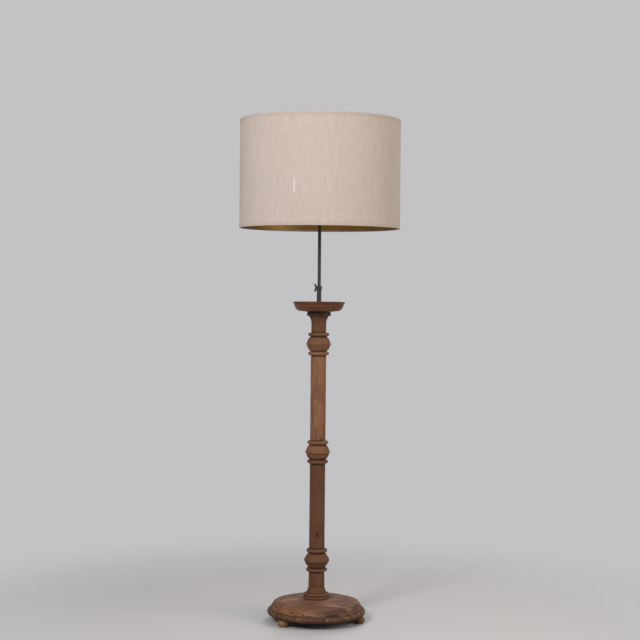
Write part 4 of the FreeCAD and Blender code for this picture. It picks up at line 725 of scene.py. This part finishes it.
# ----------------------------------------------------------------------------------------------
# Operators: metal and glass
# ----------------------------------------------------------------------------------------------
class LAMP_OT_forge_wing_screw(Operator):
    """Forge the two wings of the clamp's screw on its boss and shank"""
    bl_idname = "lamp.forge_wing_screw"
    bl_label = "Forge the wing screw"

    def execute(self, context):
        metal = context.scene.lamp_metal
        low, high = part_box("wing_screw")
        axis = (low + high) / 2
        boss = high.y
        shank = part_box("clamp_pad")[1].y + 0.1 * MM
        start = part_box("clamp_collar")[0].x - 0.5 * MM
        stop = start - metal.boss
        # half outline of shank and boss: along the screw, out from its axis
        outline = (
            (high.x, 0.0),
            (high.x, shank - 0.4 * MM),
            (high.x - 0.4 * MM, shank),
            (start, shank),
            (start, boss - 0.5 * MM),
            (start - 0.5 * MM, boss),
            (stop + 1.4 * MM, boss),
            (stop + 0.4 * MM, boss - 0.8 * MM),
            (stop, boss * 0.5),
            (stop, 0.0),
        )
        shape = bmesh.new()
        points = [shape.verts.new((x, radius, axis.z)) for x, radius in outline]
        for first, last in zip(points, points[1:]):
            shape.edges.new((first, last))
        bmesh.ops.spin(shape, geom=everything(shape), cent=(0, 0, axis.z), axis=(1, 0, 0), angle=tau,
                       steps=40, use_merge=True)
        bmesh.ops.remove_doubles(shape, verts=shape.verts, dist=WELD)
        for side in (-1, 1):
            self.wing(shape, side, low, axis, (start + stop) / 2, metal)
        bmesh.ops.recalc_face_normals(shape, faces=shape.faces)
        make_piece("forged_wing_screw", shape, "wing_screw", 50.0)
        return {"FINISHED"}

    def wing(self, shape, side, low, axis, root, metal):
        """A leaf-shaped lobe that leans away from the collar, rounded at its edges."""
        lobe = metal.wing
        tip = Vector((low.x + lobe, 0, axis.z + side * (axis.z - low.z - lobe)))
        leaf = bmesh.ops.create_circle(shape, cap_ends=True, segments=40, radius=lobe)["verts"]
        bmesh.ops.rotate(shape, verts=leaf, cent=(0, 0, 0), matrix=Matrix.Rotation(pi / 2, 3, "X"))
        length = abs(tip.z - axis.z)
        for vert in leaf:
            if vert.co.z * side < 0:
                vert.co.z *= length / lobe
                vert.co.x += (root - tip.x) * abs(vert.co.z) / length
        bmesh.ops.translate(shape, verts=leaf, vec=tip + Vector((0, -metal.thickness / 2, 0)))
        flat = leaf[0].link_faces[0]
        grown = bmesh.ops.extrude_face_region(shape, geom=[flat])["geom"]
        raised = [part for part in grown if isinstance(part, bmesh.types.BMVert)]
        bmesh.ops.translate(shape, verts=raised, vec=(0, metal.thickness, 0))
        rims = dict.fromkeys(rim for vert in leaf + raised for rim in vert.link_edges
                             if abs(rim.verts[0].co.y - rim.verts[1].co.y) < WELD)
        bmesh.ops.bevel(shape, geom=list(rims), offset=metal.edge, affect="EDGES", segments=3,
                        profile=0.5, material=-1, clamp_overlap=True)


class LAMP_OT_blow_bulb(Operator):
    """Blow the bulb's glass"""
    bl_idname = "lamp.blow_bulb"
    bl_label = "Make the bulb"

    def execute(self, context):
        make_piece("frosted_globe", lathe("bulb_glass", 64), "bulb_glass", 60.0)
        return {"FINISHED"}


# ----------------------------------------------------------------------------------------------
# Operators: shade
# ----------------------------------------------------------------------------------------------
class LAMP_OT_cover_shade(Operator):
    """Wrap the linen, the gilt lining and the bound edges of the drum"""
    bl_idname = "lamp.cover_shade"
    bl_label = "Cover the shade"

    def cut_lap(self, shape, shade, radius):
        """Cut the rear along both edges of the lap, and beside the free edge for its step."""
        for side in (-shade.lap / 2 - shade.lap_rise / 2, -shade.lap / 2, shade.lap / 2):
            rear = [face for face in shape.faces if face.calc_center_median().y > radius * 0.9]
            parts = dict.fromkeys(part for face in rear for part in (face, *face.edges, *face.verts))
            bmesh.ops.bisect_plane(shape, geom=list(parts), dist=WELD, plane_co=(side, 0, 0),
                                   plane_no=(1, 0, 0))

    def drum(self, context, node, name, lapped, spacing):
        """Turn one layer of the drum, a little out of round, with the lap where it has one."""
        shade = context.scene.lamp_shade
        shape = lathe(node, shade.steps, spacing=spacing)
        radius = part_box("shade_cover")[1].x
        if lapped:
            self.cut_lap(shape, shade, radius)
        for vert in shape.verts:
            heading = atan2(vert.co.y, vert.co.x)
            around = Vector((cos(heading), sin(heading), 0))
            shift = shade.wave * noise.noise(around * 2.5 + Vector((0, 0, vert.co.z * 3.0)))
            if lapped and vert.co.y > 0 and reach(vert.co, AXIS) > radius - 0.4 * MM:
                # 1 at the lap's free edge, 0 where it runs out
                over = 0.5 - vert.co.x / shade.lap
                shift += shade.lap_rise * over if -0.01 < over < 1.01 else 0.0
            vert.co += around * shift
        lay_weave(shape, radius, REAR + shade.lap / 2 / radius)
        return make_piece(name, shape, node, 50.0)

    def execute(self, context):
        cover = self.drum(context, "shade_cover", "linen_drum", True, 12 * MM)
        self.drum(context, "shade_liner", "gilt_sheet", False, 40 * MM)
        tapes = [self.drum(context, f"hem_{side}", f"binding_{side}", False, 4 * MM)
                 for side in ("top", "bottom")]
        return {"FINISHED"}


# ----------------------------------------------------------------------------------------------
# Operators: the remaining nodes, the camera and the stage
# ----------------------------------------------------------------------------------------------
class LAMP_OT_finish_nodes(Operator):
    """Give every CAD node that still shows its finish"""
    bl_idname = "lamp.finish_nodes"
    bl_label = "Finish the plain pieces"

    def execute(self, context):
        for name, node in frame["nodes"].items():
            if not node.hide_render:
                node.data.materials.clear()
                node.data.materials.append(finish_of(SLOT_OF[name]))
        return {"FINISHED"}


LIGHTS_AIM = Vector((0, 0, 1.0))
LIGHTS = (
    # name, degrees to the right of the front, degrees up, metres away, metres across, watts, colour
    ("key", -31.0, 24.0, 3.4, 1.1, 78.0, (0.985, 0.98, 1.0)),
    ("fill", 64.0, 14.0, 3.6, 2.4, 62.0, (1.0, 0.97, 0.88)),
    ("top", 10.0, 72.0, 3.2, 2.0, 16.0, (1.0, 1.0, 1.0)),
    ("rear", 165.0, 30.0, 3.6, 2.4, 42.0, (1.0, 1.0, 1.0)),
)
FLOOR_RADIUS = 3.4
# Metres from the axis between which the floor fades out
FLOOR_FADE = (0.7, 1.9)


class LAMP_OT_set_stage(Operator):
    """Set the camera, the lights, the floor and the backdrop"""
    bl_idname = "lamp.set_stage"
    bl_label = "Set the stage"

    def camera(self, context):
        stage = context.scene.lamp_stage
        camera = bpy.data.objects.new("camera", bpy.data.cameras.new("camera"))
        camera.data.sensor_width = 36.0
        camera.data.lens = stage.lens
        camera.data.shift_y = stage.drop
        camera.location = (stage.aside, -stage.distance, stage.height)
        camera.rotation_euler = (pi / 2, stage.roll, 0)
        context.scene.collection.objects.link(camera)
        context.scene.camera = camera

    def lights(self, context):
        for name, right, up, away, across, watts, tone in LIGHTS:
            heading = FRONT + radians(right)
            flat = cos(radians(up))
            towards = Vector((cos(heading) * flat, sin(heading) * flat, sin(radians(up))))
            lamp = bpy.data.lights.new(name, "AREA")
            lamp.shape = "DISK"
            lamp.size = across
            lamp.energy = watts
            lamp.color = tone
            light = bpy.data.objects.new(name, lamp)
            light.location = LIGHTS_AIM + towards * away
            light.rotation_mode = "QUATERNION"
            light.rotation_quaternion = (-towards).to_track_quat("-Z", "Y")
            context.scene.collection.objects.link(light)

    def surroundings(self, context):
        """Even light all round; the camera, glossy and clear surfaces see the backdrop's colour."""
        stage = context.scene.lamp_stage
        world = bpy.data.worlds.new("studio")
        world.use_nodes = True
        context.scene.world = world
        nodes = world.node_tree.nodes
        link = world.node_tree.links.new
        light = nodes["Background"]
        light.inputs["Color"].default_value = (1, 1, 1, 1)
        light.inputs["Strength"].default_value = stage.sky
        seen = nodes.new("ShaderNodeBackground")
        seen.inputs["Color"].default_value = (*stage.backdrop, 1)
        rays = nodes.new("ShaderNodeLightPath").outputs
        share = rays["Is Camera Ray"]
        for kind in ("Is Glossy Ray", "Is Transmission Ray"):
            either = nodes.new("ShaderNodeMath")
            either.operation = "MAXIMUM"
            link(share, either.inputs[0])
            link(rays[kind], either.inputs[1])
            share = either.outputs[0]
        mixed = nodes.new("ShaderNodeMixShader")
        for socket, output in zip(mixed.inputs, (share, light.outputs[0], seen.outputs[0])):
            link(output, socket)
        link(mixed.outputs[0], nodes["World Output"].inputs["Surface"])

    def floor(self, context):
        """A round floor that fades into the backdrop."""
        stage = context.scene.lamp_stage
        shape = bmesh.new()
        bmesh.ops.create_circle(shape, cap_ends=True, segments=96, radius=FLOOR_RADIUS)
        mesh = bpy.data.meshes.new("floor")
        shape.to_mesh(mesh)
        shape.free()
        floor = bpy.data.objects.new("floor", mesh)
        context.scene.collection.objects.link(floor)
        recipe = Recipe("pale_floor", Specular_IOR_Level=0.2)
        away = recipe.distance(recipe.place)
        speck = recipe.noise(recipe.place, 500.0, 2.0)
        tone = recipe.ramp(speck, (0.3, [part * 0.97 for part in stage.floor]), (0.7, stage.floor[:]))
        recipe.finish(tone, recipe.level(speck, 0.3, 0.7, 0.55, 0.65))
        clear = recipe.add("ShaderNodeBsdfTransparent")
        mixed = recipe.add("ShaderNodeMixShader", {
            0: recipe.level(away, *FLOOR_FADE),
            1: recipe.shader.outputs[0],
            2: clear.outputs[0],
        })
        recipe.feed(recipe.tree.nodes["Material Output"].inputs["Surface"], mixed.outputs[0])
        mesh.materials.append(recipe.material)

    def execute(self, context):
        context.scene.view_settings.view_transform = "Standard"
        self.camera(context)
        self.lights(context)
        self.surroundings(context)
        self.floor(context)
        return {"FINISHED"}


OPERATORS = (LAMP_OT_set_stage, LAMP_OT_turn_feet, LAMP_OT_join_base, LAMP_OT_turn_column,
             LAMP_OT_turn_pan, LAMP_OT_forge_wing_screw, LAMP_OT_blow_bulb, LAMP_OT_cover_shade,
             LAMP_OT_finish_nodes)
SETTINGS = (("lamp_timber", LampTimberSettings), ("lamp_metal", LampMetalSettings),
            ("lamp_shade", LampShadeSettings), ("lamp_stage", LampStageSettings))


class LAMP_PT_panel(Panel):
    """Steps that make the lamp, and its settings"""
    bl_label = "Candlestick floor lamp"
    bl_space_type = "VIEW_3D"
    bl_region_type = "UI"
    bl_category = "Lamp"

    def draw(self, context):
        for operator in OPERATORS:
            self.layout.operator(operator.bl_idname)
        for name, settings in SETTINGS:
            box = self.layout.box()
            for field in settings.__annotations__:
                box.prop(getattr(context.scene, name), field)


def register():
    for name, settings in SETTINGS:
        bpy.utils.register_class(settings)
        setattr(bpy.types.Scene, name, PointerProperty(type=settings))
    for operator in OPERATORS:
        bpy.utils.register_class(operator)
    bpy.utils.register_class(LAMP_PT_panel)


def unregister():
    bpy.utils.unregister_class(LAMP_PT_panel)
    for operator in reversed(OPERATORS):
        bpy.utils.unregister_class(operator)
    for name, settings in reversed(SETTINGS):
        delattr(bpy.types.Scene, name)
        bpy.utils.unregister_class(settings)


def main():
    register()
    for operator in OPERATORS:
        group, step = operator.bl_idname.split(".")
        getattr(getattr(bpy.ops, group), step)()


if __name__ == "__main__":
    main()
